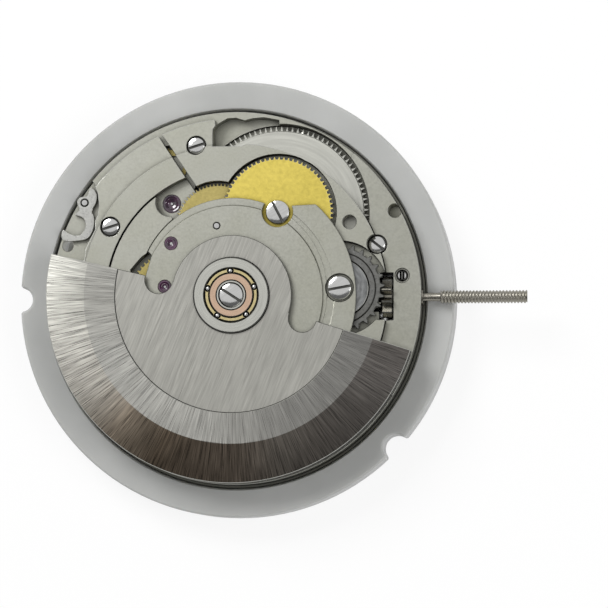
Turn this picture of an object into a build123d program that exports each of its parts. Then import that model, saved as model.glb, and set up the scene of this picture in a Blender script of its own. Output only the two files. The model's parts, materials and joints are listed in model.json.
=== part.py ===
from build123d import *
import math
import os

# A self-winding watch movement in its plastic holder, back side up. The origin is on the
# movement's axis in the plane the holder stands on, +Z points to the rotor, +X along the stem.

# Main sizes
plate_radius = 12.8
flange_width = 0.2
flange_height = 0.4
holder_wall = 1.94
holder_height = 3.1
holder_gap = 0.06
holder_ledge = 0.25
ledge_rise = 0.05
seat_height = 2.1
stem_height = 1.8
fit_gap = 0.03
stem_bore_gap = 0.03
wheel_gap = 0.05
overrun = 0.5
shake = 0.02

# Heights above the dial seat
recess_depth = 0.35
floor_thickness = 0.5
pillar_height = 2.0
bridge_thickness = 0.3
bridge_rise = 0.8
outer_rise = 0.2
auto_plate_thickness = 0.2
auto_bridge_height = 3.26
auto_bridge_thickness = 0.28
auto_bridge_rise = 0.14
auto_step_drop = 0.07

# Radii of the steps on the bridges
rim_step_radius = 10.5
auto_recess_radius = 8.8
auto_plate_radius = 8.65
bridge_reach = 12.3

# Rotor
rotor_height = 4.0
rotor_plate_thickness = 0.2
rotor_seam_radius = 8.0
rotor_band_radius = 10.1
rotor_rim_radius = 11.1
rotor_radius = 12.75
rotor_hub_radius = 4.1
rim_low_height = 2.65
rotor_direction = 254.8
rotor_half_span = 88.0
rotor_slope = 0.24

# Bearing
bearing_radius = 2.58
bearing_bore = 1.84
bearing_top_height = 4.45
race_radius = 1.49
core_radius = 1.0
core_screw_radius = 0.82
ball_radius = 0.155
ball_count = 5
gear_hub_radius = 2.2

# Barrel and winding works
barrel_distance = 6.50
barrel_angle = 61.95
barrel_teeth = 100
barrel_low = 0.64
barrel_high = 1.45
barrel_band = 0.25
barrel_band_drop = 0.05
drum_radius = 5.75
drum_wall = 0.25
arbor_radius = 0.55
arbor_pivot_reach = 0.25
spring_turns = 9
spring_thickness = 0.13
crown_distance = 7.33
crown_angle = 4.15
ratchet_teeth = 33
crown_teeth = 26
ratchet_low = 2.80
ratchet_thickness = 0.22
coarse_addendum = 0.09
coarse_dedendum = 0.20
driving_teeth = 72
driving_low = 3.06
driving_thickness = 0.14
crown_ring_radius = 2.42
crown_core_radius = 1.95
big_screw_radius = 0.81
screw_radius = 0.59
small_screw_radius = 0.36
screw_head_height = 0.28
screw_shank_share = 0.45
screw_end_gap = 0.1
slot_width = 0.16
slot_depth = 0.12

# Self-winding works
reduction_distance = 4.922
reduction_angle = 102.8
reversing_a_distance = 4.685
reversing_a_angle = 172.03
reversing_b_distance = 5.553
reversing_b_angle = 139.45
reduction_teeth = 72
reduction_pinion_teeth = 10
reversing_pinion_teeth = 10
reversing_teeth = 40
rotor_gear_teeth = 44
linked_teeth = 28
reduction_low = 2.56
reduction_thickness = 0.12
reversing_low = 2.78
reversing_thickness = 0.12
linked_low = 2.96
fine_addendum = 0.06
fine_dedendum = 0.11
pivot_radius = 0.09
arbor_fine_radius = 0.18
fine_hub_radius = 0.36
auto_jewel_radius = 0.45
jewel_height = 0.24

# Going train
great_distance = 7.78
great_angle = 124.0
great_pinion_teeth = 24
great_teeth = 90
great_third_distance = 4.35
third_pinion_teeth = 10
third_teeth = 80
third_seconds_distance = 3.6
seconds_pinion_teeth = 10
seconds_teeth = 84
escape_pinion_teeth = 7
escape_distance = 3.4125
escape_angle = 235.0
escape_teeth = 20
escape_radius = 2.0
escape_depth = 0.42
train_wheel_thickness = 0.1
great_low = 1.5
seconds_low = 1.66
third_low = 1.81
escape_low = 0.75
train_jewel_radius = 0.62
small_jewel_radius = 0.45
wheel_rim_width = 0.42
spoke_width = 0.3
spoke_count = 5
wheel_hub_radius = 0.55

# Escapement
balance_distance = 7.642
balance_angle = 276.0
balance_radius = 4.2
balance_low = 1.32
balance_thickness = 0.3
balance_rim_width = 0.34
balance_bay_radius = 4.42
pallet_distance = 2.42
pallet_low = 0.93
pallet_thickness = 0.12
fork_slot_width = 0.22
impulse_pin_radius = 0.07
roller_radius = 0.5
roller_pin_distance = 0.42
hairspring_turns = 11
hairspring_pitch = 0.13
hairspring_thickness = 0.04
hairspring_low = 1.72
hairspring_height = 0.12
shock_radius = 0.85
cock_width = 2.3
cock_foot_distance = 10.6
cock_foot_angle = 228.0
cock_thickness = 0.35

# Stem and keyless works
stem_radius = 0.55
stem_tail_radius = 0.3
stem_neck_radius = 0.29
thread_radius = 0.45
stem_shoulder = 12.9
thread_start = 14.1
thread_end = 20.0
stem_tail_start = 6.9
stem_square_start = 8.4
pinion_start = 10.12
pinion_end = 10.85
pinion_pocket_end = 10.9
winding_teeth = 10
winding_tip_radius = 1.42
winding_root_radius = 0.84
sliding_start = 8.5
sliding_end = 9.86
sliding_radius = 0.95
sliding_root_radius = 0.74
sliding_groove_start = 9.0
sliding_groove_width = 0.34
sliding_groove_radius = 0.68
coupling_teeth_height = 0.18
coupling_teeth_count = 10
stem_travel = 0.9
sliding_travel = 0.75
lever_pivot_x = 11.5
lever_pivot_y = 1.43
lever_low = 0.16
lever_thickness = 0.16
lever_post_radius = 0.11
stem_groove_width = 0.32
yoke_reach = 3.03
yoke_finger_y = 0.86
pusher_radius = 0.38
cover_thickness = 0.12

# Motion works on the dial side
minute_distance = 2.04
minute_angle = 357.0
cannon_teeth = 12
minute_teeth = 36
minute_pinion_teeth = 10
hour_teeth = 40
minute_module = 0.085
middle_teeth = 24
setting_teeth = 32
hour_pipe_radius = 0.75
cannon_pipe_radius = 0.45
seconds_pivot_radius = 0.125
hour_pipe_drop = 1.1
cannon_pipe_drop = 1.55
seconds_pivot_drop = 1.95

# Dial-foot clamps
clamp_pivot_distance = 12.41
clamp_pivot_angle = 147.7
dial_foot_distance = 12.25
dial_foot_angle = 162.5
dial_foot_radius = 0.38


# Outlines, as shares of the plate's radius, and the cuts that go with them
split_shares = [(-0.475, 0.98), (-0.19, 0.555), (0.09, 0.10), (0.09, -0.26)]
train_side_shares = split_shares + [
    (-0.08, -0.40), (-0.45, -0.40), (-0.86, -0.33), (-1.05, -0.28), (-1.05, 0.98),
]
barrel_side_shares = split_shares + [
    (0.48, -0.44), (0.85, -0.44), (1.05, -0.30), (1.05, 1.05), (-0.475, 1.05),
]
split_width = 0.27
clamp_recess_shares = [
    (-1.02, 0.20), (-0.81, 0.20), (-0.803, 0.262), (-0.777, 0.318), (-0.752, 0.366), (-0.753, 0.413),
    (-0.738, 0.444), (-0.731, 0.495), (-0.739, 0.565), (-0.761, 0.617), (-0.79, 0.648), (-1.02, 0.70),
]
barrel_bay_shares = [
    (-0.117, 0.805), (-0.121, 0.859), (-0.1195, 0.903), (-0.097, 0.933), (-0.0445, 0.964), (0.002, 0.966),
    (0.048, 0.952), (0.091, 0.963), (0.155, 0.968), (0.234, 0.953), (0.234, 0.89), (0.04, 0.805),
]
lever_recess_shares = [(0.62, -0.36), (0.90, -0.33), (0.955, -0.10), (0.955, 0.17), (0.62, 0.17)]
cover_shares = [(0.64, -0.345), (0.88, -0.315), (0.93, -0.10), (0.935, 0.15), (0.64, 0.165)]
auto_side_shares = [
    (-0.72, 0.515), (-0.492, 0.461), (-0.414, 0.379), (-0.203, 0.461), (0.016, 0.469),
    (0.074, 0.36), (0.074, -0.344), (-0.72, -0.344),
]
auto_lobe_shares = [
    (0.234, 0.477), (0.469, 0.488), (0.516, 0.4375), (0.72, 0.2344), (0.72, -0.41), (0.0, -0.41), (0.0, 0.0),
]
window_shares = [
    (-0.55, 0.143), (-0.491, 0.211), (-0.451, 0.238), (-0.434, 0.217), (-0.463, 0.116),
    (-0.475, 0.048), (-0.54, 0.055),
]
raised_start = -32.0
raised_stop = 50.0
barrel_open_start = -45.0
barrel_open_stop = 96.5
crescent_start = 128.0
crescent_stop = 181.0
pocket_margin = 0.18
barrel_pocket_margin = 0.11
train_pocket_margin = 0.12
seat_margin = 0.09
barrel_bay_floor = 1.0
cup_drop = 0.06
ratchet_recess_radius = 4.0
great_jewel_bay = 1.0
hole_radius = 0.48
hole_places = [(9.415, 32.5), (12.455, 28.1)]
screw_sink = 0.32
bridge_screw_polars = [(10.75, 104.3), (9.77, 150.4), (10.42, 19.9)]
bridge_screw_turns = [17.5, 17.5, -38.0]
cock_screw_turn = 24.0

# Sizes of the rotor's details
rotor_tongue_radius = 8.5
rotor_notch_distance = 5.1
rotor_notch_angle = 87.0
rotor_notch_radius = 0.95
rotor_seam_drop = 0.1
rotor_underlap = 0.1
rotor_weight_rise = 0.12
bearing_overlap = 0.04
core_post_radius = 1.35
core_seat_radius = 2.3
core_screw_depth = 0.25
core_screw_inset = 0.03
core_screw_length = 1.2
core_thread_radius = 0.4
core_slot_turn = -33.0
ball_drop = 0.16
ball_turn = 20.0
race_drop = 0.14
race_inset = 0.02
cage_gap = 0.03
cage_rise = 0.07

# Sizes of the self-winding plates
auto_bridge_radius = 6.47
auto_edge_offset = 0.24
auto_far_radius = 8.43
auto_step_radius = 6.19
auto_groove_outer = 6.95
auto_notch_gap = 0.25
auto_screw_gap = 0.06
auto_screw_sink = 0.2
auto_balance_radius = 5.0
auto_pillar_radius = 0.55
auto_screw_polars = [(5.993, 205.7), (4.525, 225.0)]
auto_screw_turn = 35.0
crown_screw_turn = 10.0
auto_outer_height = 3.4
auto_skin_thickness = 0.16
auto_bush_radius = 0.24
reversing_hole_count = 4
reversing_hole_distance = 1.45
reversing_hole_radius = 0.42
sleeve_height = 0.1

# Sizes of the barrel and winding details
cover_wall = 0.08
arbor_pivot_radius = 0.35
arbor_core_radius = 1.1
arbor_square_radius = 0.6
ratchet_boss_radius = 1.6
ratchet_screw_length = 0.9
ratchet_screw_turn = -62.0
crown_ring_rise = 0.12
crown_core_flange = 0.3
crown_stud_radius = 0.6
crown_screw_length = 1.0
click_distance = 3.574
click_pivot_angle = 17.9
click_length = 0.95
click_angle = 60.0
click_width = 0.5
yoke_stud_radius = 0.2
click_stud_radius = 0.16
winding_turn = 18.0
coupling_tooth_width = 0.12
pinion_pocket_start = 8.3
pinion_pocket_half = 1.62
sliding_pocket_start = 7.65
sliding_pocket_half = 1.2
sliding_teeth_count = 14
sliding_teeth_length = 0.28
sliding_square_end = 10.05
stem_square_half = 0.36
lever_width = 0.5
lever_tail_x = 1.6
lever_tail_y = -0.27
lever_screw_radius = 0.15
post_slot_end = 12.14
post_slot_low = 0.17
post_slot_high = 0.32
pusher_travel = 0.2
pusher_slot_width = 0.12
pusher_head_radius = 0.5
pusher_head_drop = 0.12
yoke_finger_radius = 0.12
yoke_finger_drop = 0.1
cover_screw_polars = [(8.721, 12.92), (11.618, 346.56)]
cover_post_radius = 0.42
cover_screw_length = 0.45
thin_head_height = 0.05

# Sizes of the train and escapement details
escape_turn = 4.0
escape_hub_radius = 0.4
escape_tooth_shares = [(0.80, -0.42), (0.84, -0.2), (1.0, 0.04), (0.985, 0.16), (0.80, -0.02)]
pallet_reach_share = 0.62
pallet_bridge_low = 1.1
pallet_bridge_thickness = 0.14
pallet_bridge_width = 0.9
pallet_screw_reach = 1.75
pallet_pivot_rise = 0.1
fork_clear = 0.22
fork_head = 0.3
fork_width = 0.3
fork_spread = 0.28
fork_horn = 0.14
fork_slot_length = 0.7
pallet_arm_back = 0.47
pallet_arm_side = 1.125
stone_lean = 30.0
stone_length = 0.4
stone_width = 0.2
roller_gap = 0.05
roller_thickness = 0.08
staff_radius = 0.12
staff_low = 0.5
staff_high = 0.08
balance_hub_radius = 0.35
balance_arm_count = 3
balance_arm_width = 0.42
balance_arm_turn = 20.0
collet_radius = 0.42
stud_pin_radius = 0.1
cock_foot_radius = 1.4
shock_dish_share = 0.72
shock_dish_depth = 0.1
shock_rise = 0.25
regulator_radius = 1.25
regulator_thickness = 0.12
regulator_reach = 2.3
regulator_width = 0.34
regulator_angle = 60.0

# Sizes of the motion works
minute_level = 0.18
hour_level = 0.04
motion_thickness = 0.1
motion_recess_radius = 3.9
centre_tube_radius = 0.24
centre_tube_bore = 0.15
centre_tube_drop = 1.0
taper_length = 0.56
stud_radius = 0.2
stud_inset = 0.04
setting_height = 0.95
setting_boss_radius = 0.7
setting_cog_radius = 0.9
setting_cog_teeth = 14

# Sizes of the dial-foot clamp
clamp_size = 1.0
clamp_height = 1.35
clamp_thickness = 0.35
clamp_pin_radius = 0.24
clamp_pin_depth = 0.6
clamp_shares = [
    (0.50, 1.02), (0.83, 0.58), (0.77, -0.08), (0.52, -0.64), (0.63, -0.95), (0.60, -1.86), (0.16, -2.52),
    (-0.34, -2.63), (-1.61, -2.30), (-1.44, -1.86), (-1.22, -2.03), (-0.83, -2.21), (-0.34, -2.25),
    (0.00, -1.86), (0.08, -1.42), (-0.23, -0.98), (-0.67, -0.80), (-0.39, -0.53), (-0.50, -0.08),
    (-0.34, 0.36), (0.22, 0.55),
]

# Shape of the teeth, as shares of their pitch
tooth_tip_share = 0.10
tooth_root_share = 0.25


def polar(distance, angle):
    return (distance * math.cos(math.radians(angle)), distance * math.sin(math.radians(angle)))


def span(a, b):
    return math.hypot(b[0] - a[0], b[1] - a[1])


def heading(a, b):
    return math.degrees(math.atan2(b[1] - a[1], b[0] - a[0]))


def third_point(a, reach_a, b, reach_b):
    # the point at the two reaches from a and b, on the left of the way from a to b
    whole = span(a, b)
    along = (reach_a**2 - reach_b**2 + whole**2) / (2 * whole)
    across = math.sqrt(reach_a**2 - along**2)
    ux, uy = (b[0] - a[0]) / whole, (b[1] - a[1]) / whole
    return (a[0] + along * ux - across * uy, a[1] + along * uy + across * ux)


# Radii from the plate outwards
flange_radius = plate_radius + flange_width
holder_radius = flange_radius + holder_gap + holder_wall
ledge_radius = flange_radius - holder_ledge

# Levels
base = seat_height
pocket_floor = base + floor_thickness
pillar_top = base + pillar_height
recess_top = pillar_top + bridge_thickness
bridge_top = pillar_top + bridge_thickness + bridge_rise
outer_top = pillar_top + bridge_thickness + outer_rise
stem_z = base + stem_height
auto_bridge_low = base + auto_bridge_height
auto_bridge_top = auto_bridge_low + auto_bridge_thickness

# Running bores and press fits, from the one fitting gap
bore_gap = fit_gap / 2
press_gap = fit_gap / 3

# Places
centre = (0.0, 0.0)
barrel_at = polar(barrel_distance, barrel_angle)
crown_at = polar(crown_distance, crown_angle)
reduction_at = polar(reduction_distance, reduction_angle)
reversing_a_at = polar(reversing_a_distance, reversing_a_angle)
reversing_b_at = polar(reversing_b_distance, reversing_b_angle)
great_at = polar(great_distance, great_angle)
third_at = third_point(centre, third_seconds_distance, great_at, great_third_distance)
escape_at = polar(escape_distance, escape_angle)
balance_at = polar(balance_distance, balance_angle)
line_to_balance = heading(escape_at, balance_at)
pallet_at = (
    escape_at[0] + polar(pallet_distance, line_to_balance)[0],
    escape_at[1] + polar(pallet_distance, line_to_balance)[1],
)
minute_at = polar(minute_distance, minute_angle)
middle_reach = minute_module * (minute_teeth + middle_teeth) / 2
setting_reach = minute_module * (middle_teeth + setting_teeth) / 2
middle_at = (
    minute_at[0] + polar(middle_reach, minute_angle)[0],
    minute_at[1] + polar(middle_reach, minute_angle)[1],
)
setting_at = (
    middle_at[0] + polar(setting_reach, minute_angle)[0],
    middle_at[1] + polar(setting_reach, minute_angle)[1],
)
clamp_at = polar(clamp_pivot_distance, clamp_pivot_angle)
dial_foot_at = polar(dial_foot_distance, dial_foot_angle)
lever_at = (lever_pivot_x, lever_pivot_y)
lever_swing = math.degrees(math.asin(stem_travel / 2 / lever_pivot_y))
lever_post_x = lever_pivot_x - stem_travel / 2
lever_post_y = lever_pivot_y * (1 - math.cos(math.radians(lever_swing)))
yoke_swing = math.degrees(math.asin(sliding_travel / 2 / yoke_reach))
yoke_finger_x = sliding_groove_start + sliding_groove_width / 2
yoke_at = (
    yoke_finger_x - sliding_travel / 2,
    -yoke_finger_y - yoke_reach * math.cos(math.radians(yoke_swing)),
)
pallet_screw_places = [
    (
        pallet_at[0] + polar(pallet_screw_reach, line_to_balance + side * 90)[0],
        pallet_at[1] + polar(pallet_screw_reach, line_to_balance + side * 90)[1],
    )
    for side in (-1, 1)
]
bridge_screw_places = [polar(*place) for place in bridge_screw_polars]
hole_at = [polar(*place) for place in hole_places]
auto_screw_places = [polar(*place) for place in auto_screw_polars]
cover_screw_places = [polar(*place) for place in cover_screw_polars]
auto_edge_at = (0.0, auto_edge_offset)
click_at = polar(click_distance, click_pivot_angle)
cock_screw_at = polar(cock_foot_distance, cock_foot_angle)


def disc(radius, low, high, at=centre):
    stand = (Align.CENTER, Align.CENTER, Align.MIN)
    return Pos(at[0], at[1], low) * Cylinder(radius, high - low, align=stand)


def washer(outer, inner, low, high, at=centre):
    return disc(outer, low, high, at) - disc(inner, low - overrun, high + overrun, at)


def taper(low_radius, high_radius, low, high, at=centre):
    return Pos(at[0], at[1], low) * Cone(
        low_radius, high_radius, high - low, align=(Align.CENTER, Align.CENTER, Align.MIN)
    )


def block(x0, x1, y0, y1, low, high):
    middle = ((x0 + x1) / 2, (y0 + y1) / 2, low)
    return Pos(*middle) * Box(x1 - x0, y1 - y0, high - low, align=(Align.CENTER, Align.CENTER, Align.MIN))


def prism(points, low, high):
    face = make_face(Polyline(*points, close=True))
    return Pos(0, 0, low) * extrude(face, amount=high - low)


def from_shares(shares, size):
    return [(size * x, size * y) for x, y in shares]


def bar(a, b, width, low, high):
    # a round-ended bar from a to b
    length = span(a, b)
    middle = ((a[0] + b[0]) / 2, (a[1] + b[1]) / 2)
    body = Pos(middle[0], middle[1], low) * Rot(0, 0, heading(a, b)) * Box(
        length, width, high - low, align=(Align.CENTER, Align.CENTER, Align.MIN)
    )
    return body + disc(width / 2, low, high, a) + disc(width / 2, low, high, b)


def toothed(teeth, tip, root, low, high, at=centre, turn=0.0):
    points = []
    for tooth in range(teeth):
        middle = turn + 360 * tooth / teeth
        for radius, share in (
            (root, -tooth_root_share),
            (tip, -tooth_tip_share),
            (tip, tooth_tip_share),
            (root, tooth_root_share),
        ):
            x, y = polar(radius, middle + share * 360 / teeth)
            points.append((at[0] + x, at[1] + y))
    return prism(points, low, high)


def meshed_turn(at_a, teeth_a, turn_a, at_b, teeth_b):
    # the turn of wheel b that sets a gap of b before a tooth of a on their line of centres
    line = heading(at_a, at_b)
    share_a = (line - turn_a) * teeth_a / 360
    return line + 180 - (0.5 - share_a) * 360 / teeth_b


def windows(rim_inner, hub, width, count, low, high, at):
    # the openings between the spokes of a wheel
    ring = washer(rim_inner, hub, low - overrun, high + overrun, at)
    for spoke in range(count):
        far = polar(rim_inner + overrun, 360 * spoke / count)
        ring -= bar(at, (at[0] + far[0], at[1] + far[1]), width, low - 2 * overrun, high + 2 * overrun)
    return ring


def spoked_wheel(teeth, pitch_radius, low, high, at, turn):
    tip = pitch_radius + fine_addendum
    root = pitch_radius - fine_dedendum
    body = toothed(teeth, tip, root, low, high, at, turn)
    return body - windows(root - wheel_rim_width, wheel_hub_radius, spoke_width, spoke_count, low, high, at)


def pinion(teeth, pitch_radius, low, high, at, turn):
    return toothed(teeth, pitch_radius + fine_addendum, pitch_radius - fine_dedendum, low, high, at, turn)


def arbor(low, high, at, radius=arbor_fine_radius, drop=jewel_height):
    # a shaft with a thinner pivot at each end
    shaft = disc(radius, low + shake, high - shake, at)
    return shaft + disc(pivot_radius, low - drop, high + jewel_height, at)


def shank_bore(radius):
    # the bore that lets a screw's shank pass
    return radius * screw_shank_share + bore_gap


def screw_slot(radius, top, turn, at=centre):
    seat = (Align.CENTER, Align.CENTER, Align.MIN)
    blade = Box(2 * radius + overrun, slot_width, slot_depth + overrun, align=seat)
    return Pos(at[0], at[1], top - slot_depth) * Rot(0, 0, turn) * blade


def screw(at, radius, seat, shank_low, turn):
    top = seat + screw_head_height
    body = disc(radius, seat, top, at) + disc(radius * screw_shank_share, shank_low, seat, at)
    return body - screw_slot(radius, top, turn, at)


def screw_seat(at, radius, seat, top):
    # the sunk seat and the bore that a screw needs
    seat_cut = disc(radius + seat_margin, seat, top + overrun, at)
    return seat_cut + disc(shank_bore(radius), base + fit_gap, seat, at)


def jewel(at, radius, low):
    return washer(radius, pivot_radius + fit_gap, low, low + jewel_height, at)


def save(name, shape):
    export_step(shape, "parts/" + name + ".step")
    print(name, len(shape.solids()), round(shape.volume, 3))


# Turns of the wheels, each from its neighbour
pitch = {}


def pair(name_a, teeth_a, at_a, name_b, teeth_b, at_b):
    # pitch radii of two meshing wheels from their distance
    unit = span(at_a, at_b) / (teeth_a + teeth_b)
    pitch[name_a] = unit * teeth_a
    pitch[name_b] = unit * teeth_b


pair("ratchet", ratchet_teeth, barrel_at, "crown", crown_teeth, crown_at)
pair("driving", driving_teeth, barrel_at, "reduction_pinion", reduction_pinion_teeth, reduction_at)
pair("reduction", reduction_teeth, reduction_at, "reversing_pinion", reversing_pinion_teeth, reversing_b_at)
pair("linked_a", linked_teeth, reversing_a_at, "linked_b", linked_teeth, reversing_b_at)
pair("rotor_gear", rotor_gear_teeth, centre, "reversing", reversing_teeth, reversing_a_at)
pair("barrel", barrel_teeth, barrel_at, "great_pinion", great_pinion_teeth, great_at)
pair("great", great_teeth, great_at, "third_pinion", third_pinion_teeth, third_at)
pair("third", third_teeth, third_at, "seconds_pinion", seconds_pinion_teeth, centre)
pair("seconds", seconds_teeth, centre, "escape_pinion", escape_pinion_teeth, escape_at)

crown_turn = -math.degrees(math.asin(crown_at[1] / pitch["crown"]))
turn = {"crown": crown_turn, "rotor_gear": 0.0, "seconds": 0.0, "cannon": 0.0}
turn["ratchet"] = meshed_turn(crown_at, crown_teeth, turn["crown"], barrel_at, ratchet_teeth)
turn["driving"] = turn["ratchet"]
turn["reduction_pinion"] = meshed_turn(
    barrel_at, driving_teeth, turn["driving"], reduction_at, reduction_pinion_teeth
)
turn["reduction"] = turn["reduction_pinion"]
turn["reversing_pinion"] = meshed_turn(
    reduction_at, reduction_teeth, turn["reduction"], reversing_b_at, reversing_pinion_teeth
)
turn["reversing"] = meshed_turn(centre, rotor_gear_teeth, turn["rotor_gear"], reversing_a_at, reversing_teeth)
turn["linked_a"] = turn["reversing"]
turn["linked_b"] = meshed_turn(reversing_a_at, linked_teeth, turn["linked_a"], reversing_b_at, linked_teeth)
turn["seconds_pinion"] = turn["seconds"]
turn["third"] = meshed_turn(centre, seconds_pinion_teeth, turn["seconds_pinion"], third_at, third_teeth)
turn["third_pinion"] = turn["third"]
turn["great"] = meshed_turn(third_at, third_pinion_teeth, turn["third_pinion"], great_at, great_teeth)
turn["great_pinion"] = turn["great"]
turn["barrel"] = meshed_turn(great_at, great_pinion_teeth, turn["great_pinion"], barrel_at, barrel_teeth)
turn["escape_pinion"] = meshed_turn(centre, seconds_teeth, turn["seconds"], escape_at, escape_pinion_teeth)
turn["minute"] = meshed_turn(centre, cannon_teeth, turn["cannon"], minute_at, minute_teeth)
turn["minute_pinion"] = turn["minute"]
turn["hour"] = meshed_turn(minute_at, minute_pinion_teeth, turn["minute_pinion"], centre, hour_teeth)
turn["middle"] = meshed_turn(minute_at, minute_teeth, turn["minute"], middle_at, middle_teeth)
turn["setting"] = meshed_turn(middle_at, middle_teeth, turn["middle"], setting_at, setting_teeth)

# Derived sizes that several pieces share
middle_radius = minute_module * middle_teeth / 2
setting_radius = minute_module * setting_teeth / 2
setting_top = base + setting_height
clamp_low = base + clamp_height
auto_outer_top = base + auto_outer_height
rotor_gear_tip = pitch["rotor_gear"] + fine_addendum
auto_seat = recess_top + auto_plate_thickness
auto_pivot_drop = auto_plate_thickness - shake
great_floor = base + barrel_high - barrel_band - pocket_margin
bearing_top = base + bearing_top_height
ball_ring_radius = (race_radius + bearing_bore) / 2
ball_z = bearing_top - ball_drop
core_screw_floor = bearing_top - core_screw_depth
crown_screw_low = auto_bridge_top - auto_screw_sink - crown_screw_length
barrel_tip = pitch["barrel"] + coarse_addendum
barrel_pocket_radius = barrel_tip + barrel_pocket_margin
ratchet_tip = pitch["ratchet"] + coarse_addendum
crown_tip = pitch["crown"] + coarse_addendum


# Static pieces


def tube_x(radius, x0, x1, y=0.0, z=stem_z):
    # a round bar along the stem's direction
    return Pos((x0 + x1) / 2, y, z) * Rot(0, 90, 0) * Cylinder(radius, x1 - x0)


def wedge(start, stop, low, high):
    # everything between two directions, seen from the centre
    reach = 3 * holder_radius
    points = [centre]
    steps = 4
    for step in range(steps + 1):
        points.append(polar(reach, start + (stop - start) * step / steps))
    return prism(points, low, high)


notch_places = [(polar(holder_radius, 180.0), 0.83), (polar(holder_radius, 317.0), 0.9)]


def holder_ring():
    ring = washer(holder_radius, flange_radius + holder_gap, 0, holder_height)
    ring += washer(flange_radius + overrun, ledge_radius, 0, base + ledge_rise)
    for place, radius in notch_places:
        ring -= disc(radius, -overrun, holder_height + overrun, place)
    return ring


def fork_bay(low, high):
    return bar(escape_at, balance_at, 2 * pallet_distance * pallet_reach_share, low, high)


def main_plate():
    plate = disc(flange_radius, base, base + flange_height) + disc(plate_radius, base, pillar_top)
    # the rim lies on the ledge and stands back a little from the dial seat
    plate -= washer(flange_radius + overrun, ledge_radius - wheel_gap, base - overrun, base + ledge_rise)
    raised = washer(plate_radius, rim_step_radius + fit_gap, pillar_top, outer_top)
    plate += raised & wedge(raised_start, raised_stop, pillar_top - overrun, outer_top + overrun)
    high = outer_top + overrun
    low = base - overrun
    # wells of the barrel, the train, the escapement and the balance
    for radius, floor, place in (
        (barrel_pocket_radius, base + barrel_low - cup_drop, barrel_at),
        (pitch["great"] + train_pocket_margin, base + great_low - wheel_gap, great_at),
        (pitch["great_pinion"] + pocket_margin, great_floor, great_at),
        (pitch["third"] + pocket_margin, base + great_low - wheel_gap, third_at),
        (pitch["seconds"] + pocket_margin, base + seconds_low - wheel_gap, centre),
        (escape_radius + pocket_margin, base + escape_low - wheel_gap, escape_at),
        (balance_bay_radius, base + balance_low - wheel_gap, balance_at),
    ):
        plate -= disc(radius, floor, high, place)
    plate -= fork_bay(base + escape_low - wheel_gap, high)
    plate -= bar(*pallet_screw_places, pallet_bridge_width + 2 * fit_gap, base + pallet_bridge_low, high)
    plate -= disc(shock_radius, low, high, balance_at)
    # wells of the pinions, the stem's bores and the levers' recess
    half = pinion_pocket_half
    plate -= block(pinion_pocket_start, pinion_pocket_end, -half, half, base, high)
    half = sliding_pocket_half
    sliding_floor = stem_z - sliding_radius - wheel_gap
    plate -= block(sliding_pocket_start, pinion_pocket_end, -half, half, sliding_floor, high)
    plate -= tube_x(stem_radius + stem_bore_gap, pinion_pocket_start, flange_radius + overrun)
    plate -= tube_x(stem_tail_radius + stem_bore_gap, stem_tail_start - stem_bore_gap, pinion_pocket_end)
    plate -= prism(from_shares(lever_recess_shares, plate_radius), low, base + recess_depth)
    finger_reach = 2 * yoke_finger_radius
    plate -= block(
        yoke_finger_x - sliding_travel - finger_reach, yoke_finger_x + finger_reach,
        -yoke_finger_y - finger_reach, -yoke_finger_y + finger_reach, base, stem_z,
    )
    plate -= block(pinion_pocket_end - overrun, post_slot_end, -post_slot_low, post_slot_high, low, stem_z)
    plate -= disc(pusher_radius + bore_gap, low, high, lever_at)
    plate -= disc(pusher_head_radius, outer_top - pusher_head_drop, high, lever_at)
    for place in cover_screw_places:
        plate += disc(cover_post_radius, base + cover_thickness, base + recess_depth + fit_gap, place)
        plate -= disc(shank_bore(small_screw_radius), low, base + cover_screw_length, place)
        plate -= disc(small_screw_radius + bore_gap, low, base + thin_head_height, place)
    plate += disc(yoke_stud_radius, base + cover_thickness, base + recess_depth + fit_gap, yoke_at)
    # motion works: their recess, studs and the centre tube
    plate -= disc(motion_recess_radius, low, base + recess_depth)
    plate -= disc(middle_radius + pocket_margin, low, base + recess_depth, middle_at)
    plate -= disc(setting_radius + pocket_margin, low, base + recess_depth, setting_at)
    plate -= disc(setting_cog_radius + fit_gap, low, setting_top + fit_gap, setting_at)
    plate += disc(centre_tube_radius, base - centre_tube_drop, base + recess_depth + fit_gap)
    plate -= disc(centre_tube_bore, base - centre_tube_drop - overrun, high)
    recess_roof = base + recess_depth
    for place, top in ((minute_at, recess_roof), (middle_at, recess_roof), (setting_at, setting_top)):
        plate += disc(stud_radius, base + stud_inset, top + 2 * fit_gap, place)
    # holes for screws, feet, pivots and clamps
    for place in bridge_screw_places + [cock_screw_at]:
        plate -= disc(shank_bore(screw_radius), pocket_floor - screw_end_gap, high, place)
        plate -= disc(screw_radius + seat_margin, pillar_top, high, place)
    for place in pallet_screw_places:
        plate -= disc(shank_bore(small_screw_radius), pocket_floor - screw_end_gap, high, place)
    plate -= disc(dial_foot_radius, low, high, dial_foot_at)
    plate -= prism(from_shares(clamp_recess_shares, plate_radius), clamp_low - fit_gap, high)
    plate -= prism(from_shares(barrel_bay_shares, plate_radius), base + barrel_bay_floor, high)
    plate -= disc(clamp_pin_radius, clamp_low - clamp_pin_depth, high, clamp_at)
    plate -= disc(hole_radius, pocket_floor, high, hole_at[1])
    plate -= disc(arbor_pivot_radius + fit_gap, pocket_floor - arbor_pivot_reach, high, barrel_at)
    for place, floor in lower_jewel_places():
        plate -= disc(small_jewel_radius, floor - jewel_height, floor + overrun, place)
    return plate


def bridge_region(side_shares, low, high):
    return disc(bridge_reach, low, high) & prism(from_shares(side_shares, plate_radius), low, high)


def split_slot(low, high):
    # the slot between the two bridges
    line = from_shares(split_shares, plate_radius)
    gap = None
    for a, b in zip(line, line[1:]):
        piece = bar(a, b, split_width, low - overrun, high + overrun)
        gap = piece if gap is None else gap + piece
    return gap


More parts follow.
